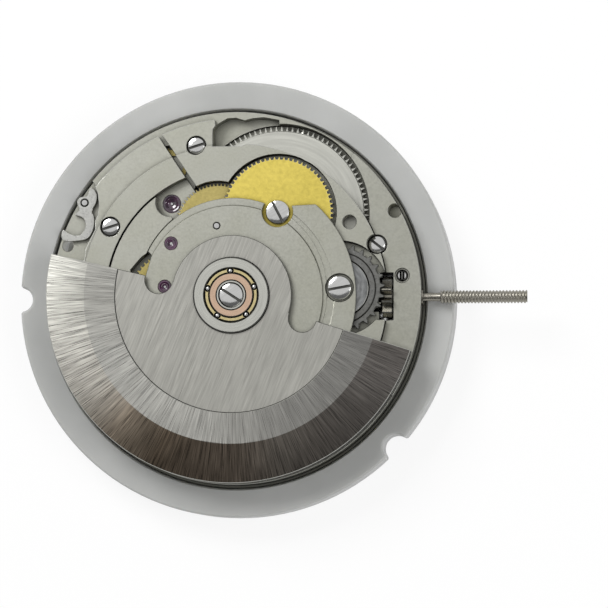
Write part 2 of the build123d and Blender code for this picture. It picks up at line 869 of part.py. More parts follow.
def upper_jewel_cuts(places, radius):
    cut = None
    for place in places:
        piece = disc(radius, pillar_top - overrun, recess_top + overrun, place)
        cut = piece if cut is None else cut + piece
    return cut


def train_bridge():
    bridge = bridge_region(train_side_shares, pillar_top, recess_top)
    rim = washer(rim_step_radius, auto_recess_radius, recess_top, bridge_top) & bridge_region(
        train_side_shares, recess_top, bridge_top
    )
    outer = washer(bridge_reach, rim_step_radius, recess_top, outer_top) & bridge_region(
        train_side_shares, recess_top, outer_top
    )
    bridge = bridge + rim + outer
    bridge -= split_slot(pillar_top, bridge_top)
    bridge -= disc(balance_bay_radius + pocket_margin, pillar_top - overrun, bridge_top + overrun, balance_at)
    recess = from_shares(clamp_recess_shares, plate_radius)
    bridge -= prism(recess, pillar_top - overrun, bridge_top + overrun)
    bridge -= upper_jewel_cuts([great_at], train_jewel_radius)
    bridge -= upper_jewel_cuts([centre, third_at, escape_at], small_jewel_radius)
    bridge -= screw_seat(bridge_screw_places[1], screw_radius, bridge_top - screw_sink, bridge_top)
    for place in auto_screw_places:
        bridge -= disc(shank_bore(small_screw_radius), base, bridge_top, place)
    bridge -= disc(dial_foot_radius + fit_gap, pillar_top - overrun, bridge_top + overrun, dial_foot_at)
    return bridge


def barrel_bridge():
    slab = bridge_region(barrel_side_shares, pillar_top, recess_top)
    raised = disc(rim_step_radius, recess_top, bridge_top) & bridge_region(
        barrel_side_shares, recess_top, bridge_top
    )
    outer = washer(bridge_reach, rim_step_radius, recess_top, outer_top) & bridge_region(
        barrel_side_shares, recess_top, outer_top
    )
    bridge = slab + raised + outer
    high = bridge_top + overrun
    # the barrel lies open outside the step, and the raised plate piece beside the stem stays clear
    open_side = washer(2 * bridge_reach, rim_step_radius, pillar_top - overrun, high)
    bridge -= open_side & wedge(barrel_open_start, barrel_open_stop, pillar_top - 2 * overrun, 2 * high)
    bridge -= split_slot(pillar_top, bridge_top)
    bridge -= disc(balance_bay_radius + pocket_margin, pillar_top - overrun, high, balance_at)
    bridge -= disc(ratchet_recess_radius, recess_top, high, barrel_at)
    bridge -= disc(crown_tip + pocket_margin, recess_top, high, crown_at)
    bridge -= disc(rotor_gear_tip + pocket_margin, recess_top, high)
    bridge -= disc(pitch["reduction"] + pocket_margin, recess_top, high, reduction_at)
    bridge -= disc(great_jewel_bay, recess_top, high, great_at)
    half = pinion_pocket_half
    bridge -= block(crown_at[0], pinion_pocket_end + overrun, -half, half, recess_top, high)
    bridge -= block(pinion_start - pocket_margin, rim_step_radius + overrun, -half, half, base, high)
    bridge -= tube_x(sliding_radius + pocket_margin, sliding_pocket_start, rim_step_radius + overrun)
    bridge -= tube_x(stem_tail_radius + stem_bore_gap, stem_tail_start - stem_bore_gap, pinion_pocket_end)
    bridge -= disc(arbor_radius + fit_gap, pillar_top - overrun, high, barrel_at)
    bridge -= disc(crown_stud_radius + bore_gap, pillar_top - overrun, high, crown_at)
    bridge -= screw_seat(bridge_screw_places[0], screw_radius, outer_top - screw_sink, bridge_top)
    bridge -= screw_seat(bridge_screw_places[2], screw_radius, outer_top - screw_sink, bridge_top)
    bridge -= disc(hole_radius, pillar_top - overrun, high, hole_at[0])
    bridge -= disc(click_stud_radius + bore_gap, pillar_top - overrun, high, click_at)
    bridge -= click_bay(recess_top, high)
    bridge -= prism(from_shares(barrel_bay_shares, plate_radius), pillar_top - overrun, high)
    return bridge


def bridge_screws():
    seats = [outer_top - screw_sink, bridge_top - screw_sink, outer_top - screw_sink]
    group = screw(cock_screw_at, screw_radius, outer_top - screw_sink, pocket_floor, cock_screw_turn)
    for place, seat, angle in zip(bridge_screw_places, seats, bridge_screw_turns):
        group += screw(place, screw_radius, seat, pocket_floor, angle)
    return group


def lower_jewel_places():
    return [
        (third_at, base + great_low - wheel_gap),
        (escape_at, base + escape_low - wheel_gap),
        (great_at, great_floor),
        (pallet_at, base + escape_low - wheel_gap),
    ]


def train_jewels():
    group = washer(train_jewel_radius, pivot_radius + fit_gap, pillar_top, recess_top - shake, great_at)
    for place in (centre, third_at, escape_at):
        group += washer(small_jewel_radius, pivot_radius + fit_gap, pillar_top, recess_top - shake, place)
    for place, floor in lower_jewel_places():
        group += jewel(place, small_jewel_radius, floor - jewel_height)
    return group



# Rotor and its bearing


def rotor_wedge(half_span, low, high):
    return wedge(rotor_direction - half_span, rotor_direction + half_span, low, high)


def rotor_plate():
    low = base + rotor_height
    high = low + rotor_plate_thickness
    plate = disc(rotor_hub_radius, low, high)
    plate += disc(rotor_tongue_radius, low, high) & rotor_wedge(rotor_half_span, low, high)
    for side in (-1, 1):
        notch = polar(rotor_notch_distance, rotor_direction + side * rotor_notch_angle)
        plate -= disc(rotor_notch_radius, low - overrun, high + overrun, notch)
    top = high - rotor_seam_drop
    plate -= washer(rotor_tongue_radius + overrun, rotor_seam_radius, top, high + overrun)
    return plate - disc(bearing_radius + press_gap, low - overrun, high + overrun)


def rotor_weight():
    low = base + rotor_height - rotor_underlap
    seam = base + rotor_height + rotor_plate_thickness
    high = seam + rotor_weight_rise
    tongue = rotor_tongue_radius + bore_gap
    outline = [
        (rotor_seam_radius + press_gap, seam - rotor_seam_drop),
        (rotor_seam_radius + press_gap, high),
        (rotor_band_radius, high),
        (rotor_radius, high - rotor_slope),
        (rotor_radius, base + rim_low_height),
        (rotor_rim_radius, base + rim_low_height),
        (rotor_rim_radius, low),
        (tongue, low),
        (tongue, seam - rotor_seam_drop),
    ]
    face = make_face(Plane.XZ * Polyline(*outline, close=True))
    ring = revolve(face, Axis.Z)
    return ring & rotor_wedge(rotor_half_span, base, high + overrun)


def bearing_outer_ring():
    low = base + rotor_height - bearing_overlap
    high = bearing_top
    ring = washer(bearing_radius, bearing_bore, low, high)
    hub_low = base + reversing_low
    ring += washer(gear_hub_radius, core_post_radius + wheel_gap, hub_low + reversing_thickness, low)
    # the gear under it turns the reversing wheels
    gear_root = pitch["rotor_gear"] - fine_dedendum
    gear_high = hub_low + reversing_thickness
    gear = toothed(rotor_gear_teeth, rotor_gear_tip, gear_root, hub_low - shake, gear_high)
    return ring + (gear - disc(core_post_radius + wheel_gap, hub_low - overrun, high))


def bearing_balls():
    group = None
    for ball in range(ball_count):
        x, y = polar(ball_ring_radius, ball_turn + 360 * ball / ball_count)
        piece = Pos(x, y, ball_z) * Sphere(ball_radius)
        group = piece if group is None else group + piece
    return group


def bearing_cage():
    # five arcs between the balls, joined by a thin ring below them
    low = ball_z - ball_radius - cage_gap
    high = ball_z + cage_rise
    outer = bearing_bore - cage_gap
    inner = race_radius + cage_gap
    cage = washer(outer, inner, low, high)
    for ball in range(ball_count):
        x, y = polar(ball_ring_radius, ball_turn + 360 * ball / ball_count)
        cage -= disc(ball_radius + cage_gap, low - overrun, high + overrun, (x, y))
    return cage + washer(outer, inner, low - cage_gap, low)


def bearing_race():
    return washer(race_radius, core_radius + press_gap, ball_z - race_drop, bearing_top - race_inset)


def bearing_core():
    shoulder = ball_z - race_drop
    core = disc(core_post_radius, auto_seat, shoulder) + disc(core_radius, shoulder, bearing_top)
    core -= disc(core_screw_radius + fit_gap, core_screw_floor, bearing_top + overrun)
    return core - disc(core_thread_radius, auto_seat - overrun, core_screw_floor + overrun)


def bearing_screw():
    top = bearing_top - core_screw_inset
    head = disc(core_screw_radius, core_screw_floor, top)
    head += disc(core_thread_radius - press_gap, core_screw_floor - core_screw_length, core_screw_floor)
    return head - screw_slot(core_screw_radius, top, core_slot_turn)


# Self-winding works


def auto_lower_plate():
    low = recess_top
    high = recess_top + auto_plate_thickness
    region = prism(from_shares(auto_side_shares, plate_radius), low, auto_outer_top)
    plate = (disc(auto_plate_radius, low, high) & region) + disc(core_seat_radius, low, high)
    skin_low = auto_outer_top - auto_skin_thickness
    crescent = disc(auto_plate_radius, low, auto_outer_top) & wedge(
        crescent_start, crescent_stop, low - overrun, auto_outer_top + overrun
    )
    plate += crescent - disc(auto_bridge_radius + wheel_gap, high, auto_outer_top + overrun, auto_edge_at)
    for place in auto_screw_places:
        plate += disc(auto_pillar_radius, low, auto_bridge_low, place)
    for place, radius, bottom, top in (
        (reversing_a_at, pitch["reversing"] + pocket_margin, high, skin_low),
        (reversing_b_at, pitch["linked_b"] + pocket_margin, high, skin_low),
        (reduction_at, pitch["reduction"] + pocket_margin, high, auto_outer_top + overrun),
        (centre, rotor_gear_tip + pocket_margin, high, auto_outer_top),
        (barrel_at, ratchet_recess_radius, low - overrun, auto_outer_top + overrun),
        (balance_at, auto_balance_radius, low - overrun, auto_outer_top + overrun),
        (great_at, great_jewel_bay, low - overrun, auto_outer_top + overrun),
        (reversing_b_at, pitch["reversing_pinion"] + pocket_margin, high, skin_low),
    ):
        plate -= disc(radius, bottom, top, place)
    plate -= prism(from_shares(window_shares, plate_radius), high, auto_outer_top + overrun)
    for place in auto_screw_places:
        plate -= disc(shank_bore(small_screw_radius), low - overrun, auto_bridge_top, place)
    for place in (reduction_at, reversing_a_at, reversing_b_at):
        plate -= disc(pivot_radius + fit_gap, low - overrun, high + overrun, place)
    plate -= disc(core_thread_radius, low - overrun, high + overrun)
    return plate


def auto_bridge():
    low = auto_bridge_low
    high = auto_bridge_top
    bridge = disc(auto_bridge_radius, low, high, auto_edge_at)
    lobe = disc(auto_far_radius, low, high) & prism(from_shares(auto_lobe_shares, plate_radius), low, high)
    step = high - auto_step_drop
    lobe -= washer(auto_groove_outer, auto_step_radius, step, high + overrun)
    bridge += lobe
    bridge += disc(auto_step_radius, high, high + auto_bridge_rise)
    top = high + auto_bridge_rise + overrun
    bridge -= disc(rotor_gear_tip + pocket_margin, low - overrun, top)
    bridge -= disc(big_screw_radius + auto_notch_gap, low - overrun, top, barrel_at)
    bridge -= disc(auto_balance_radius, low - overrun, top, balance_at)
    bridge -= prism(from_shares(window_shares, plate_radius), low - overrun, top)
    bridge -= screw_seat(crown_at, big_screw_radius + auto_screw_gap, high - auto_screw_sink, top)
    for place in auto_screw_places:
        bridge -= screw_seat(place, small_screw_radius, high - auto_screw_sink, top)
    for place in (reversing_a_at, reversing_b_at):
        bridge -= disc(auto_jewel_radius, low - overrun, top, place)
    bridge -= disc(auto_bush_radius, low - overrun, top, reduction_at)
    return bridge


def auto_jewels():
    top = auto_bridge_top + auto_bridge_rise - shake
    group = washer(auto_jewel_radius, pivot_radius + fit_gap, auto_bridge_low, top, reversing_a_at)
    group += washer(auto_jewel_radius, pivot_radius + fit_gap, auto_bridge_low, top, reversing_b_at)
    return group


def reduction_bush():
    # a closed bush that carries the reduction wheel's upper pivot
    top = auto_bridge_top + auto_bridge_rise + shake
    bush = disc(auto_bush_radius - press_gap, auto_bridge_low, top, reduction_at)
    bore_top = auto_bridge_low + jewel_height + shake
    return bush - disc(pivot_radius + fit_gap, auto_bridge_low - overrun, bore_top, reduction_at)


def auto_screws():
    seat = auto_bridge_top - auto_screw_sink
    group = screw(crown_at, big_screw_radius, seat, crown_screw_low, crown_screw_turn)
    for place in auto_screw_places:
        group += screw(place, small_screw_radius, seat, recess_top - bridge_thickness, auto_screw_turn)
    return group


def reversing_wheel_a():
    low = base + reversing_low
    upper = base + linked_low
    wheel = toothed(
        reversing_teeth, pitch["reversing"] + fine_addendum, pitch["reversing"] - fine_dedendum,
        low, low + reversing_thickness, reversing_a_at, turn["reversing"],
    )
    for hole in range(reversing_hole_count):
        x, y = polar(reversing_hole_distance, 360 * hole / reversing_hole_count)
        place = (reversing_a_at[0] + x, reversing_a_at[1] + y)
        wheel -= disc(reversing_hole_radius, low - overrun, low + overrun, place)
    wheel += disc(fine_hub_radius, low, upper, reversing_a_at)
    top = upper + reversing_thickness
    wheel += pinion(linked_teeth, pitch["linked_a"], upper, top, reversing_a_at, turn["linked_a"])
    return wheel + arbor(auto_seat, auto_bridge_low, reversing_a_at, drop=auto_pivot_drop)


def reversing_wheel_b():
    upper = base + linked_low
    top = upper + reversing_thickness
    wheel = pinion(linked_teeth, pitch["linked_b"], upper, top, reversing_b_at, turn["linked_b"])
    sleeve = top + sleeve_height
    wheel += disc(fine_hub_radius, upper, sleeve, reversing_b_at)
    return wheel - disc(arbor_fine_radius + fit_gap, upper - overrun, sleeve + overrun, reversing_b_at)


def reversing_pinion():
    low = base + reduction_low - shake
    high = base + reduction_low + reduction_thickness + shake
    body = pinion(
        reversing_pinion_teeth, pitch["reversing_pinion"], low, high, reversing_b_at, turn["reversing_pinion"]
    )
    seat = base + linked_low - wheel_gap
    body += disc(fine_hub_radius, high, seat, reversing_b_at)
    return body + arbor(auto_seat, auto_bridge_low, reversing_b_at, drop=auto_pivot_drop)


def reduction_wheel():
    low = base + reduction_low
    wheel = spoke_free_wheel(reduction_teeth, "reduction", low, reduction_thickness, reduction_at)
    upper = base + driving_low - shake
    wheel += pinion(
        reduction_pinion_teeth, pitch["reduction_pinion"], upper, upper + driving_thickness + 2 * shake,
        reduction_at, turn["reduction_pinion"],
    )
    return wheel + arbor(auto_seat, auto_bridge_low, reduction_at, drop=auto_pivot_drop)


def spoke_free_wheel(teeth, name, low, thickness, at):
    tip = pitch[name] + fine_addendum
    root = pitch[name] - fine_dedendum
    return toothed(teeth, tip, root, low, low + thickness, at, turn[name])


# Barrel and winding works


def driving_wheel():
    low = base + driving_low
    wheel = spoke_free_wheel(driving_teeth, "driving", low, driving_thickness, barrel_at)
    return wheel - disc(arbor_square_radius + bore_gap, low - overrun, low + overrun, barrel_at)


def ratchet_wheel():
    low = base + ratchet_low
    wheel = toothed(
        ratchet_teeth, ratchet_tip, pitch["ratchet"] - coarse_dedendum, low, low + ratchet_thickness,
        barrel_at, turn["ratchet"],
    )
    wheel += disc(ratchet_boss_radius, low + ratchet_thickness, base + driving_low, barrel_at)
    return wheel - disc(arbor_square_radius + bore_gap, low - overrun, low + 2 * overrun, barrel_at)


def ratchet_screw():
    seat = base + driving_low + driving_thickness
    return screw(barrel_at, big_screw_radius, seat, seat - ratchet_screw_length, ratchet_screw_turn)


def barrel_arbor():
    low = base + barrel_low
    high = base + barrel_high
    shaft = disc(arbor_pivot_radius, pocket_floor - arbor_pivot_reach, low + drum_wall, barrel_at)
    shaft += disc(arbor_core_radius, low + cover_wall + shake, high - cover_wall - shake, barrel_at)
    shaft += disc(arbor_radius, high - cover_wall - shake, base + ratchet_low, barrel_at)
    top = base + driving_low + driving_thickness
    shaft += disc(arbor_square_radius, base + ratchet_low, top - shake, barrel_at)
    thread_low = top - ratchet_screw_length - shake
    return shaft - disc(shank_bore(big_screw_radius), thread_low, top + overrun, barrel_at)


def barrel_drum():
    low = base + barrel_low
    high = base + barrel_high
    drum = disc(drum_radius, low + cover_wall, high, barrel_at)
    band_high = high - barrel_band_drop
    drum += toothed(
        barrel_teeth, barrel_tip, pitch["barrel"] - coarse_dedendum, band_high - barrel_band, band_high,
        barrel_at, turn["barrel"],
    )
    drum -= disc(drum_radius - drum_wall, low - overrun, high - cover_wall, barrel_at)
    return drum - disc(arbor_radius + fit_gap, low, high + overrun, barrel_at)


def barrel_cover():
    low = base + barrel_low
    cover = disc(drum_radius - drum_wall - press_gap, low, low + cover_wall, barrel_at)
    return cover - disc(arbor_pivot_radius + fit_gap, low - overrun, low + overrun, barrel_at)


def spiral_spring(inner, step, turns, thickness, low, high, at):
    # half circles, each on its own middle, make an even spiral that starts and ends on one side
    def edge(offset):
        arcs = []
        x = inner + offset
        for half in range(2 * turns):
            sign = 1 if half % 2 == 0 else -1
            radius = abs(x) + sign * step / 4 if half % 2 == 0 else abs(x) + step / 4
            middle = x - sign * radius
            far = middle - sign * radius
            arcs.append(ThreePointArc((x, 0), (middle, sign * radius), (far, 0)))
            x = far
        return arcs, (x, 0)

    inner_arcs, inner_end = edge(0.0)
    outer_arcs, outer_end = edge(thickness)
    start = Line((inner, 0), (inner + thickness, 0))
    stop = Line(inner_end, outer_end)
    face = make_face(Curve() + [start, stop] + inner_arcs + outer_arcs)
    return Pos(at[0], at[1], low) * Rot(0, 0, 180) * extrude(face, amount=high - low)


def mainspring():
    low = base + barrel_low + cover_wall + shake
    high = base + barrel_high - cover_wall - shake
    room = drum_radius - drum_wall - arbor_core_radius - 2 * fit_gap - spring_thickness
    step = room / spring_turns
    inner = arbor_core_radius + fit_gap
    return spiral_spring(inner, step, spring_turns, spring_thickness, low, high, barrel_at)


def crown_wheel():
    low = base + ratchet_low
    high = low + ratchet_thickness
    wheel = toothed(
        crown_teeth, crown_tip, pitch["crown"] - coarse_dedendum, low, high, crown_at, turn["crown"]
    )
    wheel += disc(crown_ring_radius, high, high + crown_ring_rise, crown_at)
    return wheel - disc(crown_core_radius + fit_gap, low - overrun, high + overrun, crown_at)


def crown_core():
    core = disc(crown_core_radius, recess_top, auto_bridge_low, crown_at)
    flange = base + ratchet_low - shake
    core += disc(crown_core_radius + crown_core_flange, recess_top, flange, crown_at)
    core += disc(crown_stud_radius, stem_z + stem_tail_radius + wheel_gap, recess_top, crown_at)
    # the sliding pinion runs under the core
    core -= tube_x(sliding_radius + pocket_margin, sliding_pocket_start, rim_step_radius)
    return core - disc(shank_bore(big_screw_radius), crown_screw_low, auto_bridge_top, crown_at)


def winding_pinion():
    length = pinion_end - pinion_start
    body = toothed(winding_teeth, winding_tip_radius, winding_root_radius, 0, length, centre, winding_turn)
    body -= disc(stem_radius + fit_gap, -overrun, length + overrun)
    placed = Pos(pinion_start, 0, stem_z) * Rot(0, 90, 0) * body
    low = pinion_start - coupling_teeth_height
    half_pitch = 180 / coupling_teeth_count
    return placed + coupling_teeth(low, pinion_start, winding_root_radius - 2 * fit_gap, half_pitch)


def coupling_teeth(x0, x1, outer, turned):
    # a ring of square teeth on the faces where the two pinions meet
    ring = None
    reach = (outer + stem_radius + fit_gap) / 2
    length = outer - stem_radius - 2 * fit_gap
    for tooth in range(coupling_teeth_count):
        angle = turned + 360 * tooth / coupling_teeth_count
        piece = Pos((x0 + x1) / 2, 0, reach) * Box(x1 - x0, coupling_tooth_width, length)
        piece = Pos(0, 0, stem_z) * (Rot(angle, 0, 0) * piece)
        ring = piece if ring is None else ring + piece
    return ring


def sliding_pinion():
    teeth_end = sliding_start + sliding_teeth_length
    groove_end = sliding_groove_start + sliding_groove_width
    body = tube_x(sliding_root_radius, sliding_start, sliding_end)
    cog = toothed(sliding_teeth_count, sliding_radius, sliding_root_radius - fit_gap, 0, sliding_teeth_length)
    body += Pos(sliding_start, 0, stem_z) * Rot(0, 90, 0) * cog
    body += tube_x(sliding_radius, teeth_end, sliding_groove_start)
    body += tube_x(sliding_radius, groove_end, sliding_end)
    body -= tube_x(sliding_radius + overrun, sliding_groove_start, groove_end) - tube_x(
        sliding_groove_radius, sliding_groove_start - overrun, groove_end + overrun
    )
    teeth_reach = winding_root_radius - 2 * fit_gap
    body += coupling_teeth(sliding_end, sliding_end + coupling_teeth_height, teeth_reach, 0.0)
    half = stem_square_half + bore_gap
    return body - Pos(sliding_start, 0, stem_z) * Box(holder_radius, 2 * half, 2 * half)


def winding_stem():
    stem = tube_x(stem_tail_radius, stem_tail_start, stem_square_start)
    length = sliding_square_end - stem_square_start
    square = Box(length, 2 * stem_square_half, 2 * stem_square_half)
    stem += Pos(stem_square_start + length / 2, 0, stem_z) * square
    stem += tube_x(stem_radius, sliding_square_end, stem_shoulder)
    groove_start = lever_post_x - stem_groove_width / 2
    groove = tube_x(stem_radius + overrun, groove_start, groove_start + stem_groove_width)
    stem -= groove - tube_x(stem_tail_radius, lever_post_x - overrun, lever_post_x + overrun)
    stem += tube_x(stem_neck_radius, stem_shoulder, thread_start)
    # over the holder the thread tapers, so that a crown seats on the free length alone
    crest_start = holder_radius + wheel_gap
    taper = Cone(stem_neck_radius, thread_radius, crest_start - thread_start)
    stem += Pos((thread_start + crest_start) / 2, 0, stem_z) * Rot(0, 90, 0) * taper
    return stem + tube_x(thread_radius, crest_start, thread_end)


def click_bay(low, high):
    a = click_at
    b = (a[0] + polar(click_length, click_angle)[0], a[1] + polar(click_length, click_angle)[1])
    return bar(a, b, click_width + 3 * pocket_margin, low, high)


def click():
    low = base + ratchet_low
    a = click_at
    b = (a[0] + polar(click_length, click_angle)[0], a[1] + polar(click_length, click_angle)[1])
    lever = bar(a, b, click_width, low, low + ratchet_thickness)
    lever -= disc(pitch["ratchet"] + coarse_addendum + fit_gap, low - overrun, low + overrun, barrel_at)
    lever -= disc(click_stud_radius + fit_gap, low - overrun, low + overrun, click_at)
    return lever


def click_stud():
    low = base + ratchet_low
    stud = disc(click_stud_radius, pillar_top, low + ratchet_thickness + shake, click_at)
    return stud + disc(click_stud_radius * 2, recess_top, low - shake, click_at)


# Going train


def great_wheel():
    low = base + great_low
    high = low + train_wheel_thickness
    wheel = spoked_wheel(great_teeth, pitch["great"], low, high, great_at, turn["great"])
    leaf_low = base + barrel_high - barrel_band - 2 * wheel_gap
    wheel += toothed(
        great_pinion_teeth, pitch["great_pinion"] + coarse_addendum, pitch["great_pinion"] - coarse_dedendum,
        leaf_low, low, great_at, turn["great_pinion"],
    )
    floor = base + barrel_high - barrel_band - pocket_margin
    return wheel + arbor(floor, pillar_top, great_at)


def third_wheel():
    low = base + third_low
    high = low + train_wheel_thickness
    wheel = spoked_wheel(third_teeth, pitch["third"], low, high, third_at, turn["third"])
    leaf_low = base + great_low - shake
    leaf_high = base + great_low + train_wheel_thickness + shake
    wheel += pinion(
        third_pinion_teeth, pitch["third_pinion"], leaf_low, leaf_high, third_at, turn["third_pinion"]
    )
    return wheel + arbor(base + great_low - wheel_gap, pillar_top, third_at)


def seconds_wheel():
    low = base + seconds_low
    high = low + train_wheel_thickness
    wheel = spoked_wheel(seconds_teeth, pitch["seconds"], low, high, centre, turn["seconds"])
    leaf_low = base + third_low - shake
    leaf_high = base + third_low + train_wheel_thickness + shake
    wheel += pinion(
        seconds_pinion_teeth, pitch["seconds_pinion"], leaf_low, leaf_high, centre, turn["seconds_pinion"]
    )
    shank_low = base - cannon_pipe_drop - fit_gap
    wheel += disc(seconds_pivot_radius, base - seconds_pivot_drop, shank_low)
    shank_radius = seconds_pivot_radius - shake
    wheel += taper(seconds_pivot_radius, shank_radius, shank_low, shank_low + taper_length)
    wheel += disc(shank_radius, shank_low + taper_length, leaf_high)
    wheel += disc(arbor_fine_radius, leaf_high, pillar_top - shake)
    return wheel + disc(pivot_radius, pillar_top - overrun, pillar_top + jewel_height)


def escape_wheel():
    low = base + escape_low
    high = low + train_wheel_thickness
    points = []
    for tooth in range(escape_teeth):
        middle = 360 * tooth / escape_teeth + escape_turn
        for radius, share in escape_tooth_shares:
            x, y = polar(escape_radius * radius, middle + share * 360 / escape_teeth)
            points.append((escape_at[0] + x, escape_at[1] + y))
    wheel = prism(points, low, high)
    rim = escape_radius - escape_depth - wheel_rim_width / 2
    wheel -= windows(rim, escape_hub_radius, spoke_width / 2, spoke_count, low, high, escape_at)
    leaf_low = base + seconds_low - shake
    leaf_high = base + seconds_low + train_wheel_thickness + shake
    wheel += pinion(
        escape_pinion_teeth, pitch["escape_pinion"], leaf_low, leaf_high, escape_at, turn["escape_pinion"]
    )
    return wheel + arbor(base + escape_low - wheel_gap, pillar_top, escape_at)


# Escapement


def along_line(a, b, distance, across=0.0):
    angle = heading(a, b)
    x, y = polar(distance, angle)
    sx, sy = polar(across, angle + 90)
    return (a[0] + x + sx, a[1] + y + sy)


def pallet_fork():
    low = base + pallet_low
    high = low + pallet_thickness
    reach = span(pallet_at, balance_at)
    tip = along_line(pallet_at, balance_at, reach - fork_clear)
    neck = along_line(pallet_at, balance_at, reach - fork_clear - fork_head)
    lever = bar(pallet_at, neck, fork_width, low, high)
    lever += bar(
        along_line(pallet_at, balance_at, reach - fork_clear - fork_head, -fork_spread),
        along_line(pallet_at, balance_at, reach - fork_clear - fork_head, fork_spread),
        fork_head, low, high,
    )
    for side in (-1, 1):
        a = along_line(pallet_at, balance_at, reach - fork_clear - fork_head, side * fork_spread)
        b = along_line(pallet_at, balance_at, reach - fork_clear, side * fork_spread)
        lever += bar(a, b, fork_horn, low, high)
        arm = along_line(pallet_at, balance_at, -pallet_arm_back, side * pallet_arm_side)
        lever += bar(pallet_at, arm, fork_width, low, high)
    slot_middle = along_line(pallet_at, balance_at, reach - fork_clear)
    cut = Pos(slot_middle[0], slot_middle[1], (low + high) / 2) * Rot(0, 0, line_to_balance) * Box(
        fork_slot_length, fork_slot_width, overrun
    )
    lever -= cut
    floor = base + escape_low - wheel_gap
    lever += disc(arbor_fine_radius, floor + shake, base + pallet_bridge_low - shake, pallet_at)
    pivot_top = base + pallet_bridge_low + pallet_pivot_rise
    return lever + disc(pivot_radius, floor - jewel_height, pivot_top, pallet_at)


def pallet_stones():
    low = base + escape_low - shake
    high = base + pallet_low
    group = None
    for side in (-1, 1):
        arm = along_line(pallet_at, balance_at, -pallet_arm_back, side * pallet_arm_side)
        stone = Pos(arm[0], arm[1], low) * Rot(0, 0, line_to_balance + side * stone_lean) * Box(
            stone_length, stone_width, high - low, align=(Align.CENTER, Align.CENTER, Align.MIN)
        )
        group = stone if group is None else group + stone
    return group


def pallet_bridge():
    low = base + pallet_bridge_low
    bridge = bar(*pallet_screw_places, pallet_bridge_width, low, low + pallet_bridge_thickness)
    for place in pallet_screw_places:
        bridge -= disc(shank_bore(small_screw_radius), base, low + overrun, place)
    return bridge - disc(pivot_radius + fit_gap, low - overrun, low + overrun, pallet_at)


def pallet_screws():
    seat = base + pallet_bridge_low + pallet_bridge_thickness
    group = None
    for place in pallet_screw_places:
        piece = disc(small_screw_radius, seat, seat + thin_head_height, place)
        piece += disc(small_screw_radius * screw_shank_share, pocket_floor, seat, place)
        group = piece if group is None else group + piece
    return group


def balance_wheel():
    low = base + balance_low
    high = low + balance_thickness
    rim = washer(balance_radius, balance_radius - balance_rim_width, low, high, balance_at)
    spoke_low = low + balance_thickness / 3
    spoke_high = high - balance_thickness / 3
    for arm in range(balance_arm_count):
        x, y = polar(balance_radius - balance_rim_width / 2, 360 * arm / balance_arm_count + balance_arm_turn)
        far = (balance_at[0] + x, balance_at[1] + y)
        rim += bar(balance_at, far, balance_arm_width, spoke_low, spoke_high)
    rim += disc(balance_hub_radius, low, high, balance_at)
    return rim - disc(staff_radius, low - overrun, high + overrun, balance_at)


def balance_staff():
    low = base + balance_low
    roller_high = base + pallet_low + pallet_thickness + roller_gap + roller_thickness
    roller_low = roller_high - roller_thickness
    staff = disc(staff_radius, base + staff_low, roller_low, balance_at)
    staff += disc(roller_radius, roller_low, roller_high, balance_at)
    staff += disc(balance_hub_radius, roller_high, low, balance_at)
    pin = along_line(balance_at, pallet_at, roller_pin_distance)
    staff += disc(impulse_pin_radius, base + pallet_low - shake, roller_low, pin)
    top = low + balance_thickness
    staff += disc(collet_radius, top, base + hairspring_low + hairspring_height, balance_at)
    staff += disc(staff_radius, low, pillar_top + staff_high, balance_at)
    tip_low = base + staff_low - jewel_height / 2
    tip_high = pillar_top + staff_high + jewel_height / 2
    return staff + disc(pivot_radius, tip_low, tip_high, balance_at)


def hairspring():
    low = base + hairspring_low
    inner = collet_radius + fit_gap
    high = low + hairspring_height
    return spiral_spring(
        inner, hairspring_pitch, hairspring_turns, hairspring_thickness, low, high, balance_at
    )


def balance_cock():
    foot = disc(cock_foot_radius, pillar_top, outer_top, cock_screw_at)
    low = pillar_top
    inner = along_line(cock_screw_at, balance_at, cock_foot_radius / 2)
    cock = foot + bar(inner, balance_at, cock_width, low, low + cock_thickness)
    cock &= disc(bridge_reach, low, outer_top + overrun)
    cock -= disc(shock_radius, low - overrun, outer_top + overrun, balance_at)
    stud_x = collet_radius + fit_gap + hairspring_pitch * hairspring_turns + hairspring_thickness
    stud = (balance_at[0] - stud_x - fit_gap - stud_pin_radius, balance_at[1])
    cock += disc(stud_pin_radius, base + hairspring_low, low, stud)
    cock -= screw_seat(cock_screw_at, screw_radius, outer_top - screw_sink, bridge_top)
    return cock


def shock_block(low, high, facing):
    # a dished setting with its cap jewel's seat
    body = disc(shock_radius, low, high, balance_at)
    if facing > 0:
        body -= disc(shock_radius * shock_dish_share, high - shock_dish_depth, high + overrun, balance_at)
    else:
        body -= disc(shock_radius * shock_dish_share, low - overrun, low + shock_dish_depth, balance_at)
    return body - disc(pivot_radius + fit_gap, low - overrun, high + overrun, balance_at)


def shock_settings():
    seat = pillar_top + shake + staff_high
    upper = shock_block(seat, pillar_top + cock_thickness + shock_rise, 1)
    upper += washer(shock_radius, staff_radius + wheel_gap, pillar_top, seat, balance_at)
    lower = shock_block(base + shake, base + staff_low - shake, -1)
    return upper + lower


def regulator():
    low = pillar_top + cock_thickness + fit_gap
    high = low + regulator_thickness
    arm = washer(regulator_radius, shock_radius + fit_gap, low, high, balance_at)
    far = polar(regulator_reach, regulator_angle)
    tip = (balance_at[0] + far[0], balance_at[1] + far[1])
    start = polar(regulator_radius - regulator_width / 2, regulator_angle)
    root = (balance_at[0] + start[0], balance_at[1] + start[1])
    return arm + bar(root, tip, regulator_width, low, high)


# Keyless works


